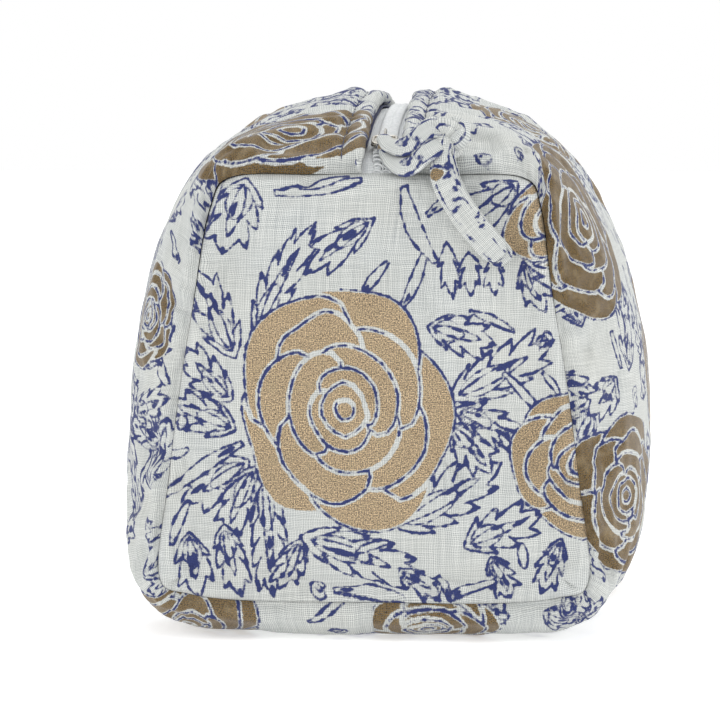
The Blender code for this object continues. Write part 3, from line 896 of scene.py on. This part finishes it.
def wrap_cover(side, shift):
    """One half of the printed wrap: from the middle of the base up the side and over the padded zip fold."""
    length = np.linspace(0, FOLD_START, int(FOLD_START / CLOTH_STEP))
    columns = int(2 * (HALF_LENGTH + 8) / CLOTH_STEP)
    q = np.linspace(-1, 1, columns)
    y = spread_ends(q) * HALF_LENGTH
    points = wrap_surface(side * section_t(length)[:, None] + side * 1e-6, y[None, :])
    normal = grid_normals(points) * side
    _, run = grid_arc_lengths(points)
    to_seam = (run[-1] - np.abs(run))[None, :]
    to_fold = (FOLD_START - length)[:, None] + FOLD_RADIUS * 1.2

    place = side * length / (2 * FOLD_START) + 0.5
    moved = resample(shift, place, (q + 1) / 2)
    on_base = smooth_step((length - 40) / 30)[:, None]
    moved = moved * (0.15 + 0.85 * on_base)[..., None]

    # padded fold beside the zip, its stitched groove, and puckers that run down to the end seams
    stitch_pull = 0.8 + 0.2 * np.sin(math.tau * run / 3.1)[None, :]
    relief = hump(to_fold, 3.2, 2.6) - 1.5 * stitch_pull * hump(to_fold, STITCH_OFFSET, 1.1)
    relief = (relief + 0.9 * hump(to_fold, 12, 4.5)) * smooth_step(to_seam / 8)
    relief = relief + 1.7 * hump(to_seam, 4.5, 3.2) * smooth_step(to_seam / 2.5)
    seed = 5 if side < 0 else 9
    low_corner, high_corner = np.interp((2.6, 7.9), FINE_T, SECTION_LENGTH)
    corner = hump(length, low_corner, 14) + 0.7 * hump(length, high_corner, 10)
    gather = (uneven(length, seed, 14.0) * 0.8 + uneven(length, seed + 1, 10.0) * corner * 0.8)[:, None]
    relief = relief + gather * np.exp(-to_seam / 8.0) * smooth_step(to_seam / 1.5)
    slack = 0.25 * uneven(length[:, None] + 0.4 * run[None, :], seed + 2, 38)
    relief = relief + slack * smooth_step(to_seam / 12)
    points = points + moved + normal * relief[..., None]
    points[..., 2] = np.maximum(points[..., 2], 0.02)

    # the fold: half a turn round the padded edge and back under it
    edge = points[-1]
    inward = unit(edge - points[-3])
    outward = unit(np.cross(inward, np.gradient(edge, axis=0)))
    outward *= np.sign(outward[:, 2:3])
    turns = np.radians(np.linspace(0, 200, 13))[1:, None, None]
    radius = FOLD_RADIUS * (0.3 + 0.7 * smooth_step(to_seam[0] / 7))[:, None]
    edge = edge + inward * (FOLD_RADIUS - radius)
    roll = edge + inward * radius * np.sin(turns) - outward * radius * (1 - np.cos(turns))
    points = np.concatenate((points, roll))
    length = np.concatenate((length, FOLD_START + FOLD_RADIUS * turns[:, 0, 0]))
    return points, length, run


def panel_points(count):
    """End panel as nested copies of its outline on a square grid, and how far out each point is."""
    s = np.linspace(-1, 1, count)
    a, b = np.meshgrid(s, s, indexing="ij")
    reach = np.maximum(np.abs(a), np.abs(b))
    safe = np.maximum(reach, 1e-9)
    a, b = a / safe, b / safe
    low_corner, high_corner = 2.55, 8.0
    on_side = np.abs(a) >= np.abs(b)
    side_t = low_corner + (b + 1) / 2 * (high_corner - low_corner)
    low_t = np.abs(a) * low_corner
    high_t = SEGMENTS - np.abs(a) * (SEGMENTS - high_corner)
    t = np.where(on_side, side_t, np.where(b < 0, low_t, high_t))
    rim = smooth_curve(PANEL_OUTLINE, t)
    middle_z = (PANEL_LOW + PANEL_HIGH) / 2
    x = np.sign(a) * rim[..., 0] * reach
    z = middle_z + (rim[..., 1] - middle_z) * reach
    return x, z, reach


def simulate_panel():
    count = 48
    x, z, reach = panel_points(count)
    points = np.stack((x, -HALF_LENGTH - panel_height(x, z, reach), z), -1)
    pinned = reach > 0.999
    return cloth_wrinkles("panel_cloth", points, pinned, pressure=4.0, spare=0.03, broad=0.15, cap=2.5)


def panel_height(x, z, reach):
    """How far the padded panel stands out past its seam."""
    to_edge = (1 - reach) * PANEL_HALF
    rolled = half_round(1 - to_edge / 6)
    crease = 0.35 + 0.95 * smooth_step((z - 85) / 50)
    crease = crease + hump(np.abs(x), 50, 9) * hump(z, 138, 14)
    return (3.0 + crease) * rolled - crease + (PANEL_BULGE - 3.0) * (1 - reach**2)


def panel_cover(end, shift, count):
    """The printed cover of an end panel, and its x and z in the flat."""
    x, z, reach = panel_points(count)
    height = panel_height(x, z, reach)
    to_edge = (1 - reach) * PANEL_HALF
    around = np.arctan2(z - (PANEL_LOW + PANEL_HIGH) / 2, x) * PANEL_HALF
    seed = 21 if end < 0 else 31
    height = height + uneven(around, seed, 15) * 0.35 * np.exp(-to_edge / 6) * smooth_step(to_edge / 1.5)
    height = height + 0.5 * uneven(x + 0.5 * z, seed + 1, 52) * smooth_step(to_edge / 14)
    moved = resample(shift, np.linspace(0, 1, count), np.linspace(0, 1, count))
    points = np.stack((x, -HALF_LENGTH - height, z), -1) + moved
    if end > 0:
        points = points * (1, -1, 1)
    return points, x, z


# The end panel's leaves, from stalk to tip: x, z, x, z, width, teeth, bend (mm)
PANEL_LEAVES = [
    (-40, 143, -46, 120, 14, 3, 0.05), (-36, 95, -22, 131, 10, 4, 0.10), (-42, 88, -55, 117, 12, 3, -0.06),
    (-43, 75, -60, 90, 10, 3, 0.08), (-42, 66, -63, 76, 11, 3, -0.08), (-38, 57, -58, 41, 12, 3, 0.10),
    (-36, 55, -48, 33, 10, 3, -0.10), (-34, 53, -29, 14, 10, 5, 0.05), (-57, 34, -53, 13, 11, 2, 0.05),
    (-46, 37, -42, 14, 9, 3, -0.06), (-22, 33, 17, 22, 13, 4, 0.08), (-22, 32, -27, 15, 9, 3, 0.12),
    (7, 36, 41, 54, 14, 4, -0.08), (28, 30, 52, 43, 12, 3, 0.06), (58, 33, 52, 16, 8, 3, 0.0),
    (24, 68, 38, 55, 11, 3, 0.10), (24, 76, 56, 92, 13, 4, -0.06), (25, 73, 50, 63, 10, 3, 0.08),
    (17, 98, 38, 94, 12, 3, 0.06), (43, 142, 27, 127, 13, 2, 0.10), (46, 118, 52, 102, 9, 2, -0.08),
    (22, 124, 25, 107, 6, 2, 0.0), (29, 121, 31, 108, 6, 2, 0.05), (37, 120, 37, 108, 6, 2, -0.05),
    (-1, 131, -22, 116, 10, 2, -0.10), (8, 23, 22, 14, 8, 2, 0.1), (36, 27, 44, 15, 9, 3, 0.1),
]
# and its blades: x, z, x, z, width, bend
PANEL_BLADES = [
    (-6, 142, -31, 136, 3.6, 0.10), (-10, 143, -24, 140, 2.2, 0.0), (-40, 62, -67, 48, 4.2, -0.12),
    (-12, 15, 10, 16, 3.8, 0.15), (24, 13, 37, 21, 3.0, 0.1), (24, 13, 20, 21, 2.6, 0.0),
    (-3, 108, 4, 118, 3.0, 0.05), (9, 104, 19, 120, 3.4, -0.2), (7, 140, 12, 116, 5.0, -0.3),
    (15, 132, 25, 141, 3.0, 0.2), (39, 65, 45, 58, 2.4, 0.0), (42, 62, 47, 56, 2.0, 0.0),
    (-57, 60, -66, 56, 2.4, 0.1), (52, 84, 58, 78, 2.4, 0.1), (-52, 128, -49, 143, 3.0, 0.1),
    (-62, 30, -60, 44, 3.0, 0.2), (-58, 100, -62, 112, 3.0, 0.2), (40, 84, 53, 72, 2.6, 0.1),
    (-5, 28, 4, 33, 2.4, 0.2), (30, 103, 44, 100, 2.4, 0.2), (46, 32, 47, 24, 3.0, 0.0),
]


def draw_front_panel():
    """The end panel that faces forward: one large rose among leaves."""
    cloth = Print((-75, 0), (75, 160), FINE_CELL, 4)
    for draw, rows in ((draw_leaf, PANEL_LEAVES), (draw_blade, PANEL_BLADES)):
        for x, z, tip_x, tip_z, *shape in rows:
            length = math.hypot(tip_x - x, tip_z - z)
            angle = math.degrees(math.atan2(x - tip_x, tip_z - z))
            draw(cloth, (x, z), length, angle, *shape)
    for x, z, size, angle in ((-57, 104, 6, 20), (52, 94, 6, -30), (-59, 68, 6, 60), (-16.5, 16, 7, 200)):
        draw_curl(cloth, (x, z), size, angle)
    draw_rose(cloth, (-8.5, 72.5), (64, 77), 14)
    draw_rose(cloth, (66, 56), (44, 48), 60, 0.2)
    draw_rose(cloth, (61.5, 131), (31, 44), 100, 0.25)
    return cloth


def draw_field(low, high, roses, seed):
    """Any other piece of cloth: roses at their places, and leaves scattered between."""
    cloth = Print(low, high, PRINT_CELL, seed)
    keep_clear = [(np.array(rose[:2], float), np.array(rose[2:4]) / 2) for rose in roses]
    scatter(cloth, low, high, keep_clear)
    for x, y, width, height, angle, tone in roses:
        draw_rose(cloth, (x, y), (width, height), angle, tone)
    return cloth


def build_covers():
    shift = simulate_wrap()
    reach = FOLD_START + 12
    # roses on the wrap, at (running length from the middle of the base, place along the bag), by side
    roses = {
        1: [(208, -93, 70, 62, 20, 1.0), (114, -92, 64, 52, 80, 0.95), (243, -46, 44, 44, 140, 0.85),
            (15, -109, 44, 30, 10, 0.9), (150, -24, 60, 62, 10, 0.8), (60, 4, 60, 62, 70, 0.7),
            (205, 24, 58, 60, 40, 0.7), (118, 56, 58, 60, 40, 0.8), (250, 84, 54, 54, 0, 0.7),
            (30, 84, 58, 56, 0, 0.7), (180, 98, 50, 50, 90, 0.8)],
        -1: [(264, -96, 78, 48, 15, 0.95), (174, -97, 37, 33, 200, 1.0), (58, -104, 62, 42, 50, 0.85),
             (225, -22, 60, 62, 100, 0.7), (118, -26, 60, 62, 50, 0.8), (40, 6, 60, 62, 300, 0.7),
             (176, 50, 58, 60, 140, 0.8), (252, 66, 56, 50, 20, 0.7), (104, 92, 54, 50, 30, 0.7),
             (26, 98, 50, 46, 60, 0.7)],
    }
    for side, name in SIDES:
        points, length, run = wrap_cover(side, shift)
        cover = mesh_from_grid("cover_" + name, points, flip=side < 0)
        cloth = draw_field((-6, -125), (reach, 125), roses[side], 40 + side)
        u = np.repeat(length, len(run))
        v = np.tile(run, len(length))
        set_cloth(cover, u, v, cloth)
        base = "outer_base", "wadding_base"
        finish_piece(cover, PRINTED,
                     replaced=("outer_" + name, "wadding_" + name, *(base if side < 0 else ())))
        opens_with(cover)
        build_topstitch(name, points, length, run)

    shift = simulate_panel()
    for end, name in ENDS:
        points, x, z = panel_cover(end, shift, 300 if end < 0 else 210)
        cover = mesh_from_grid("panel_" + name, points, flip=end < 0)
        if end < 0:
            cloth = draw_front_panel()
        else:
            cloth = draw_field((-75, 0), (75, 160), [(12, 84, 60, 70, 200, 0.1), (-50, 30, 46, 50, 60, 0.3),
                                                     (-44, 132, 44, 40, 0, 0.2)], 77)
        set_cloth(cover, x.ravel(), z.ravel(), cloth)
        finish_piece(cover, PRINTED, "root", ("outer_" + name, "wadding_" + name))


def section_offset(t, y, depth):
    """Points inside the wall: the section moved in by depth within its own plane."""
    points = wrap_surface(t, y)
    step = 0.02
    run = wrap_surface(t + step, y) - wrap_surface(t - step, y)
    return points + unit(np.stack((-run[..., 2], 0 * run[..., 0], run[..., 0]), -1)) * depth


def build_linings():
    for side, name in SIDES:
        length = np.linspace(0, FOLD_START + FOLD_RADIUS + 0.9, 96)
        y = spread_ends(np.linspace(-1, 1, 90)) * (HALF_LENGTH - 1.2)
        t = side * np.minimum(section_t(length), SEGMENTS - 0.03)[:, None] + side * 1e-6
        points = section_offset(t, y[None, :], WALL - LINING_THICKNESS)
        edge = FOLD_HALF + 0.3 + 2.4 * smooth_step((np.abs(y) - 97) / 7)
        points[..., 0] = side * np.maximum(side * points[..., 0], edge)
        sag = 0.5 * uneven(length[:, None] * 0.9 + 0.3 * y[None, :], 50 + side, 46)
        points[..., 0] -= side * np.abs(sag) * smooth_step((length[:, None] - 50) / 40)
        lining = mesh_from_grid("lining_side_" + name, points, flip=side < 0)
        set_cloth(lining, np.repeat(length, len(y)), np.tile(y, len(length)))
        thicken(lining, LINING_THICKNESS, -1)
        base = ("lining_base",) if side < 0 else ()
        finish_piece(lining, LINING, replaced=("lining_" + name, *base))
        opens_with(lining)
    for end, name in ENDS:
        x, z, reach = panel_points(64)
        scale = 0.992
        middle = (PANEL_LOW + PANEL_HIGH) / 2
        depth = HALF_LENGTH - WALL + 0.3 + (PANEL_BULGE - 3.0) * (1 - reach**2)
        depth = depth + 0.3 * uneven(x + z, 60 + end, 40)
        depth = depth + 2.6 * smooth_step((reach - 0.9) / 0.1)
        points = np.stack((x * scale, end * depth, middle + (z - middle) * scale), -1)
        lining = mesh_from_grid("lining_end_" + name, points, flip=end < 0)
        set_cloth(lining, x.ravel(), z.ravel())
        thicken(lining, LINING_THICKNESS, 1)
        finish_piece(lining, LINING, "root", ("lining_" + name,))


def tube(name, path, radius, sides, closed=False, up=(0, 0, 1), flatten=1.0):
    """A tube along a path; radius is one number or one for each point, flatten its height as a share."""
    path = np.asarray(path, float)
    radius = np.broadcast_to(np.asarray(radius, float), len(path))
    ahead = unit(np.roll(path, -1, 0) - np.roll(path, 1, 0) if closed else np.gradient(path, axis=0))
    across = unit(np.cross(ahead, up))
    above = np.cross(across, ahead) * flatten
    ring = circle(sides)[None]
    ring = ring[..., :1] * across[:, None] + ring[..., 1:] * above[:, None]
    return skin_rings(name, path[:, None] + ring * radius[:, None, None], closed)


def row_spread(y):
    """How far the coil rows stand apart between the slider and the front end."""
    return 0.6 * smooth_step((SLIDER_Y + 2 - y) / 5) * (1 - smooth_step((np.abs(y) - 104.5) / 4))


ZIP_END = HALF_LENGTH - 0.4


def zip_height(y):
    """Height of the zip's middle line, which dips to the end seams."""
    dip = np.clip((np.abs(y) - HALF_LENGTH + 7) / 7, 0, 1) ** 2
    return arc_height(y, ZIP_RADIUS) - 5.2 * dip


def build_zip():
    for side, name in SIDES:
        y = np.linspace(-ZIP_END, ZIP_END, 240)
        across = np.linspace(0, 1, 22)
        x = (0.5 + row_spread(y))[None, :] * (1 - across[:, None]) + 16.0 * across[:, None]
        z = zip_height(y)[None, :] - 0.9 - 1.0 * across[:, None] ** 1.5
        ridge = 0.12 * hump(x, 5.2, 0.35)
        points = np.stack((side * x, y[None, :] + 0 * x, z + ridge), -1)
        tape = mesh_from_grid("zip_tape_" + name + "_woven", points, flip=side < 0)
        set_cloth(tape, (side * x).ravel(), np.tile(y, len(across)))
        thicken(tape, TAPE_THICKNESS, -1)
        finish_piece(tape, TAPE, replaced=("zip_tape_" + name,))
        opens_with(tape)

        turns, steps = 2 * ZIP_END / COIL_PITCH, 10
        count = int(turns * steps)
        turn_angle = np.linspace(0, turns * math.tau, count)
        y = np.linspace(-ZIP_END, ZIP_END, count)
        wobble = 0.25 * COIL_PITCH * np.sin(turn_angle + 0.6)
        centre = 1.42 + row_spread(y)
        wide = np.cos(turn_angle + (0 if side < 0 else math.pi))
        path = np.stack((side * (centre - 1.45 * wide), y + wobble,
                         zip_height(y) + 0.15 + 0.95 * np.sin(turn_angle)), -1)
        coil = tube("zip_coil_" + name + "_spiral", path, 0.34, 6)
        finish_piece(coil, NYLON, replaced=("zip_coil_" + name,))
        opens_with(coil)


def surface_point(cover_points, length, run, at_length, at_run):
    """A point of a cover at given cloth coordinates."""
    i = np.abs(length - at_length).argmin()
    j = np.clip(np.searchsorted(run, at_run), 1, len(run) - 1)
    share = (at_run - run[j - 1]) / (run[j] - run[j - 1])
    return cover_points[i, j - 1] * (1 - share) + cover_points[i, j] * share


def build_topstitch(name, points, length, run):
    """Separate stitches sunk in the groove beside the zip fold."""
    line = FOLD_START + FOLD_RADIUS * 1.2 - STITCH_OFFSET
    s = np.linspace(0, 1, 7)
    stitches = []
    start = -run[-1] + 3
    while start + STITCH_LENGTH < run[-1] - 3:
        spots = np.array([surface_point(points, length, run, line, start + STITCH_LENGTH * k) for k in s])
        spots[:, 2] += 0.10 + 0.22 * np.sin(math.pi * s)
        stitches.append(tube("stitch", spots, 0.2 * np.sin(math.pi * np.clip(s, 0.12, 0.88)) ** 0.5, 6))
        start += STITCH_LENGTH + STITCH_GAP
    piece = merge("topstitch_" + name + "_thread", stitches)
    finish_piece(piece, THREAD, replaced=("topstitch_" + name,))
    opens_with(piece)


SLOPE = math.asin(-SLIDER_Y / ZIP_RADIUS)
SLIDER_MIDDLE = np.array((0, SLIDER_Y, arc_height(SLIDER_Y, ZIP_RADIUS)))
FORWARD = np.array((0, -math.cos(SLOPE), -math.sin(SLOPE)))
LIFT = np.array((0, -math.sin(SLOPE), math.cos(SLOPE)))


def on_slider(points):
    """Points given as (across, forward along the zip, up from its middle line), set in place."""
    points = np.asarray(points, float)
    return SLIDER_MIDDLE + points @ np.array(((1, 0, 0), FORWARD, LIFT))


def slider_plate(name, low, high):
    """A shield-shaped plate, wide where the rows part, with rounded edges."""
    edge = 0.3
    s = np.linspace(0, math.tau, 40, endpoint=False)
    half = 3.4 + 1.1 * smooth_step((np.sin(s) + 0.6) / 1.3) - 0.7 * smooth_step((-np.sin(s) - 0.3) / 0.7)
    outline = np.stack((squared_off(np.cos(s), 0.45) * half, squared_off(np.sin(s), 0.5) * 5.5), -1)
    rings = []
    for a in np.radians((0, 30, 60, 90)):
        rings.append((edge * (1 - math.sin(a)), low + edge * (1 - math.cos(a))))
    rings = rings + [(inset, low + high - z) for inset, z in rings[::-1]]
    made = []
    for inset, z in rings:
        scale = 1 - inset / np.array((4.5, 5.5))
        made.append(on_slider(np.column_stack((outline * scale, np.full(len(outline), z)))))
    return skin_rings(name, made)


def build_slider():
    """The slider's two plates, post, lips and bridge as one casting, and the pull's eye on the bridge."""
    pieces = [slider_plate("top_plate", 1.6, 2.5), slider_plate("low_plate", -2.5, -1.6)]
    post = on_slider([(0, 3.6, z) for z in np.linspace(-1.9, 1.9, 5)])
    pieces.append(tube("post", post, 0.85, 12, up=FORWARD, flatten=1.5))
    for side in (-1, 1):
        for level, inward in ((1.75, -1), (-1.75, 1)):
            y = np.linspace(-4.6, 2.0, 8)
            x = side * np.interp(y, (-4.6, 2.0), (3.0, 4.05))
            lip = on_slider(np.stack((x, y, np.full(8, level + inward * 0.35)), -1))
            pieces.append(tube("lip", lip, 0.42, 8, up=LIFT, flatten=1.4))
    a = np.radians(np.linspace(-8, 188, 17))
    arch = np.stack((0 * a, 3.3 * squared_off(np.cos(a), 0.5), 2.35 + 2.45 * squared_off(np.sin(a), 0.6)), -1)
    pieces.append(tube("bridge", on_slider(arch), 1.0, 12, up=(1, 0, 0), flatten=0.42))
    slider = merge("slider_body", pieces, sharp=40)
    finish_piece(slider, NICKEL, "slider", ("slider",))

    corner, half = 1.7, 3.6
    ring = []
    for cx, cy, first in ((1, 1, 0), (-1, 1, 90), (-1, 0, 180), (1, 0, 270)):
        for a in np.radians(first + np.linspace(0, 90, 8)):
            ring.append((cx * (half - corner) + corner * math.cos(a),
                         (EYE_REACH - corner if cy else corner) + corner * math.sin(a)))
    ring = np.array(ring)
    path = BRIDGE + ring[:, :1] * (1, 0, 0) + ring[:, 1:] * FORWARD
    eye = tube("pull_eye_ring", path, 0.46, 12, closed=True, up=LIFT)
    finish_piece(eye, NICKEL, "pull", ("pull_eye",))


def ribbon(name, path, across, width, thickness, crown):
    """A flat folded strip of cloth: a rounded section swept along a path, with its cloth coordinates."""
    path = np.asarray(path, float)
    along = unit(np.gradient(path, axis=0))
    across = np.broadcast_to(np.asarray(across, float), path.shape)
    across = unit(across - along * (across * along).sum(1, keepdims=True))
    face = np.cross(across, along)
    sides = circle(20)
    wide, thick = squared_off(sides[:, 0], 0.7), squared_off(sides[:, 1], 0.55)
    sideways = wide * width[:, None] / 2
    up = thick * thickness / 2 + crown * (1 - wide**2)
    points = path[:, None] + across[:, None] * sideways[..., None] + face[:, None] * up[..., None]
    piece = skin_rings(name, points)
    u = sideways + np.where(sides[:, 1] < 0, 14.0, 0.0)
    return piece, u.ravel(), np.repeat(running_length(path), len(sides))


def pull_print(seed, gold_at):
    """The scrap of printed cloth that the pull is folded from."""
    cloth = Print((-6, -3), (22, 75), FINE_CELL, seed)
    random = cloth.random
    for edge in (-2.9, 2.6, 11.2, 16.6):
        y = np.arange(-2, 74, 3.0)
        cloth.line(np.stack((edge + random.uniform(-0.5, 0.5, len(y)), y), -1), 0.6)
    for y in range(0, 72, 9):
        for x in (0, 14):
            spot = np.array((x, y)) + random.uniform(-2.5, 2.5, 2)
            length, angle = random.uniform(5, 9), random.uniform(0, 360)
            draw_blade(cloth, spot, length, angle, random.uniform(1.8, 2.3), 0.3)
    for x, y in gold_at:
        cloth.petal(circle(10) * (3.0, 2.4) + (x, y), 0.6)
    return cloth


KNOT = np.array(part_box("pull_knot")[0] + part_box("pull_knot")[1]) / 2 / MM
EYE_REACH = 8.0                 # from the slider's bridge to the far end of the pull's eye


def build_pull():
    """The strip folded round the eye, the overhand knot, and the free end."""
    bar = BRIDGE + FORWARD * EYE_REACH
    turn_radius = 1.3
    upper = np.array([bar + LIFT * turn_radius, (2.4, -109.4, 153.2), (8.4, -114.6, 153.4),
                      (14.6, -115.2, 158.4), KNOT + (-2.5, 0.4, 2.6)])
    lower = np.array([bar - LIFT * turn_radius, (3.0, -111.2, 148.4), (8.6, -117.0, 147.0),
                      (14.2, -118.6, 151.2), KNOT + (-2.0, -0.8, -1.6)])
    bend = np.array([bar + LIFT * turn_radius * math.cos(a) - FORWARD * turn_radius * math.sin(a)
                     for a in np.radians(np.linspace(20, 160, 7))])
    for name, route, lean in (("upper", np.concatenate((open_line(upper, 9)[::-1], bend[:4])), 1.0),
                              ("lower", np.concatenate((open_line(lower, 9)[::-1], bend[::-1][:4])), 0.7)):
        turned = np.clip(route[:, :1] / 7, 0, 1)
        across = (1 - turned) * (1, 0, 0) + turned * np.array((-0.35 * lean, 0.5, 0.85 * lean))
        width = np.interp(route[:, 0], (0, 8, 16, 22), (4.6, 6.4, 7.2, 6.0))
        strip, u, v = ribbon("pull_strip_" + name, route, across, width, PULL_THICKNESS, crown=0.5)
        set_cloth(strip, u, v, pull_print(60 + len(name), ((0, 30),)))
        replaced = ("pull_strip",) if name == "upper" else ()
        finish_piece(strip, PRINTED, "pull", replaced)

    # an overhand knot, pulled flat
    a = np.linspace(0, math.tau, 121)[:-1]
    trefoil = (np.sin(a) + 2 * np.sin(2 * a), -0.85 * np.sin(3 * a), np.cos(a) - 2 * np.cos(2 * a))
    path = np.stack(trefoil, -1) * (1.4, 2.1, 1.55)
    thick = 2.65 + 0.22 * np.sin(5 * a) + 0.15 * np.sin(13 * a)
    knot = tube("pull_knot_cloth", path + KNOT + (0.2, 0, 0.2), thick, 20, closed=True, up=(0, 1, 0.01),
                flatten=0.62)
    u = np.tile(np.linspace(0, 16, 20, endpoint=False), len(a))
    v = np.repeat(running_length(path), 20)
    set_cloth(knot, u, v, pull_print(66, ((2, 12),)))
    finish_piece(knot, PRINTED, "pull", ("pull_knot",))

    # the free end: two layers of folded cloth with rounded tips, the under one a little longer
    front = np.array([KNOT + (-2.2, -2.6, -2.0), (18.9, -119.6, 149.4), (20.0, -120.6, 143.4),
                      (24.2, -120.8, 136.4), (29.6, -120.5, 129.8), (36.4, -119.6, 122.6)])
    layers = (("front", (0, 0, 0), 0.0, 8.8), ("back", (1.2, 1.6, -0.8), 1.5, 8.0))
    for name, shift, longer, wide in layers:
        route = open_line(front, 12) + shift
        ahead = unit(route[-1] - route[-2])
        tip_run = wide * 0.5
        rounding = tip_run * np.sin(np.linspace(0, math.pi / 2, 12)[1:])
        route = np.concatenate((route, [route[-1] + ahead * (longer + step) for step in rounding]))
        run = running_length(route)
        from_tip = run[-1] - run
        tip = np.sqrt(np.clip(1 - (1 - np.clip(from_tip / tip_run, 0, 1)) ** 2, 0.002, 1))
        root = 0.62 + 0.38 * smooth_step(run / 9)
        across = np.array((0.80, -0.18 + (0.1 if name == "back" else 0), 0.58))
        width, thickness = wide * tip * root, PULL_THICKNESS * tip[:, None] ** 0.5
        tail, u, v = ribbon("pull_tail_" + name, route, across, width, thickness, crown=0.8)
        gold = ((1, 12), (12, 13)) if name == "front" else ()
        set_cloth(tail, u, v + 4, pull_print(70 + len(name), gold))
        replaced = ("pull_tail",) if name == "front" else ()
        finish_piece(tail, PRINTED, "pull", replaced)


def build_bindings():
    """The bound seam allowances inside keep their CAD shape and take a woven finish."""
    for _, name in ENDS:
        binding = bpy.data.objects["seam_binding_" + name]
        binding.data.materials.clear()
        binding.data.materials.append(BINDING)


def build_stage():
    bpy.ops.mesh.primitive_plane_add(size=12, location=(0, 0, -0.0004))
    floor = bpy.context.active_object
    floor.name = "floor"
    shader = Shader("pale_floor", Roughness=0.9, Specular_IOR_Level=0.1, Emission_Strength=0.45)
    shader.set("Base Color", (0.85, 0.85, 0.85, 1))
    shader.set("Emission Color", (1, 1, 1, 1))
    floor.data.materials.append(shader.material)
    world = bpy.data.worlds.new("studio")
    world.use_nodes = True
    world.node_tree.nodes["Background"].inputs[0].default_value = (1, 1, 1, 1)
    world.node_tree.nodes["Background"].inputs[1].default_value = 1.0
    bpy.context.scene.world = world
    bpy.context.scene.view_settings.view_transform = "Standard"


def add_aimed(name, data, place, aim):
    """Puts a light or a camera at a place, turned to its aim."""
    piece = bpy.data.objects.new(name, data)
    piece.location = place
    piece.rotation_euler = (Vector(aim) - Vector(place)).to_track_quat("-Z", "Y").to_euler()
    bpy.context.scene.collection.objects.link(piece)
    return piece


def build_lights():
    for name, place, size in (("key", (-1.5, -0.9, 1.3), 0.7), ("fill", (1.5, -0.5, 0.9), 0.8),
                              ("top", (0.1, 0.2, 1.6), 0.8)):
        light = bpy.data.lights.new(name, "AREA")
        light.shape = "SQUARE"
        light.size = size
        light.energy = 5
        add_aimed(name, light, place, (0, 0, 0.08))


CAMERA_AZIMUTH = 3.8
CAMERA_ELEVATION = 5.0
CAMERA_DISTANCE = 1.0
CAMERA_AIM = (-0.0100, -0.02, 0.0796)
CAMERA_LENS_MM = 147.7


def build_camera():
    azimuth, elevation = math.radians(CAMERA_AZIMUTH), math.radians(CAMERA_ELEVATION)
    aim = Vector(CAMERA_AIM)
    back = Vector((math.sin(azimuth) * math.cos(elevation), -math.cos(azimuth) * math.cos(elevation),
                   math.sin(elevation)))
    data = bpy.data.cameras.new("camera")
    data.lens = CAMERA_LENS_MM
    data.sensor_width = 36
    data.clip_start = 0.01
    bpy.context.scene.camera = add_aimed("camera", data, aim + back * CAMERA_DISTANCE, aim)


TOP_LEAN = 3.0                  # how far the zip lies to the right of the middle
SIDE_SAG = 1.6                  # how far the filled sides sink to the right


def lean_top(piece):
    """Moves the zip and its folds to the right, and the filled sides a little the same way."""
    points = read_points(piece)
    x, y, z = points.T
    lean = TOP_LEAN * smooth_step((z - 112) / 36) * hump(x, 0, 46)
    sag = SIDE_SAG * np.sin(math.pi * np.clip((z - 8) / 130, 0, 1)) * smooth_step((y + 104) / 30)
    points[:, 0] += lean + sag
    piece.data.vertices.foreach_set("co", (points * MM).ravel())
    piece.data.update()


build_camera()
build_stage()
build_lights()
build_covers()
build_linings()
build_zip()
build_slider()
build_pull()
build_bindings()
for piece in PIECES:
    lean_top(piece)
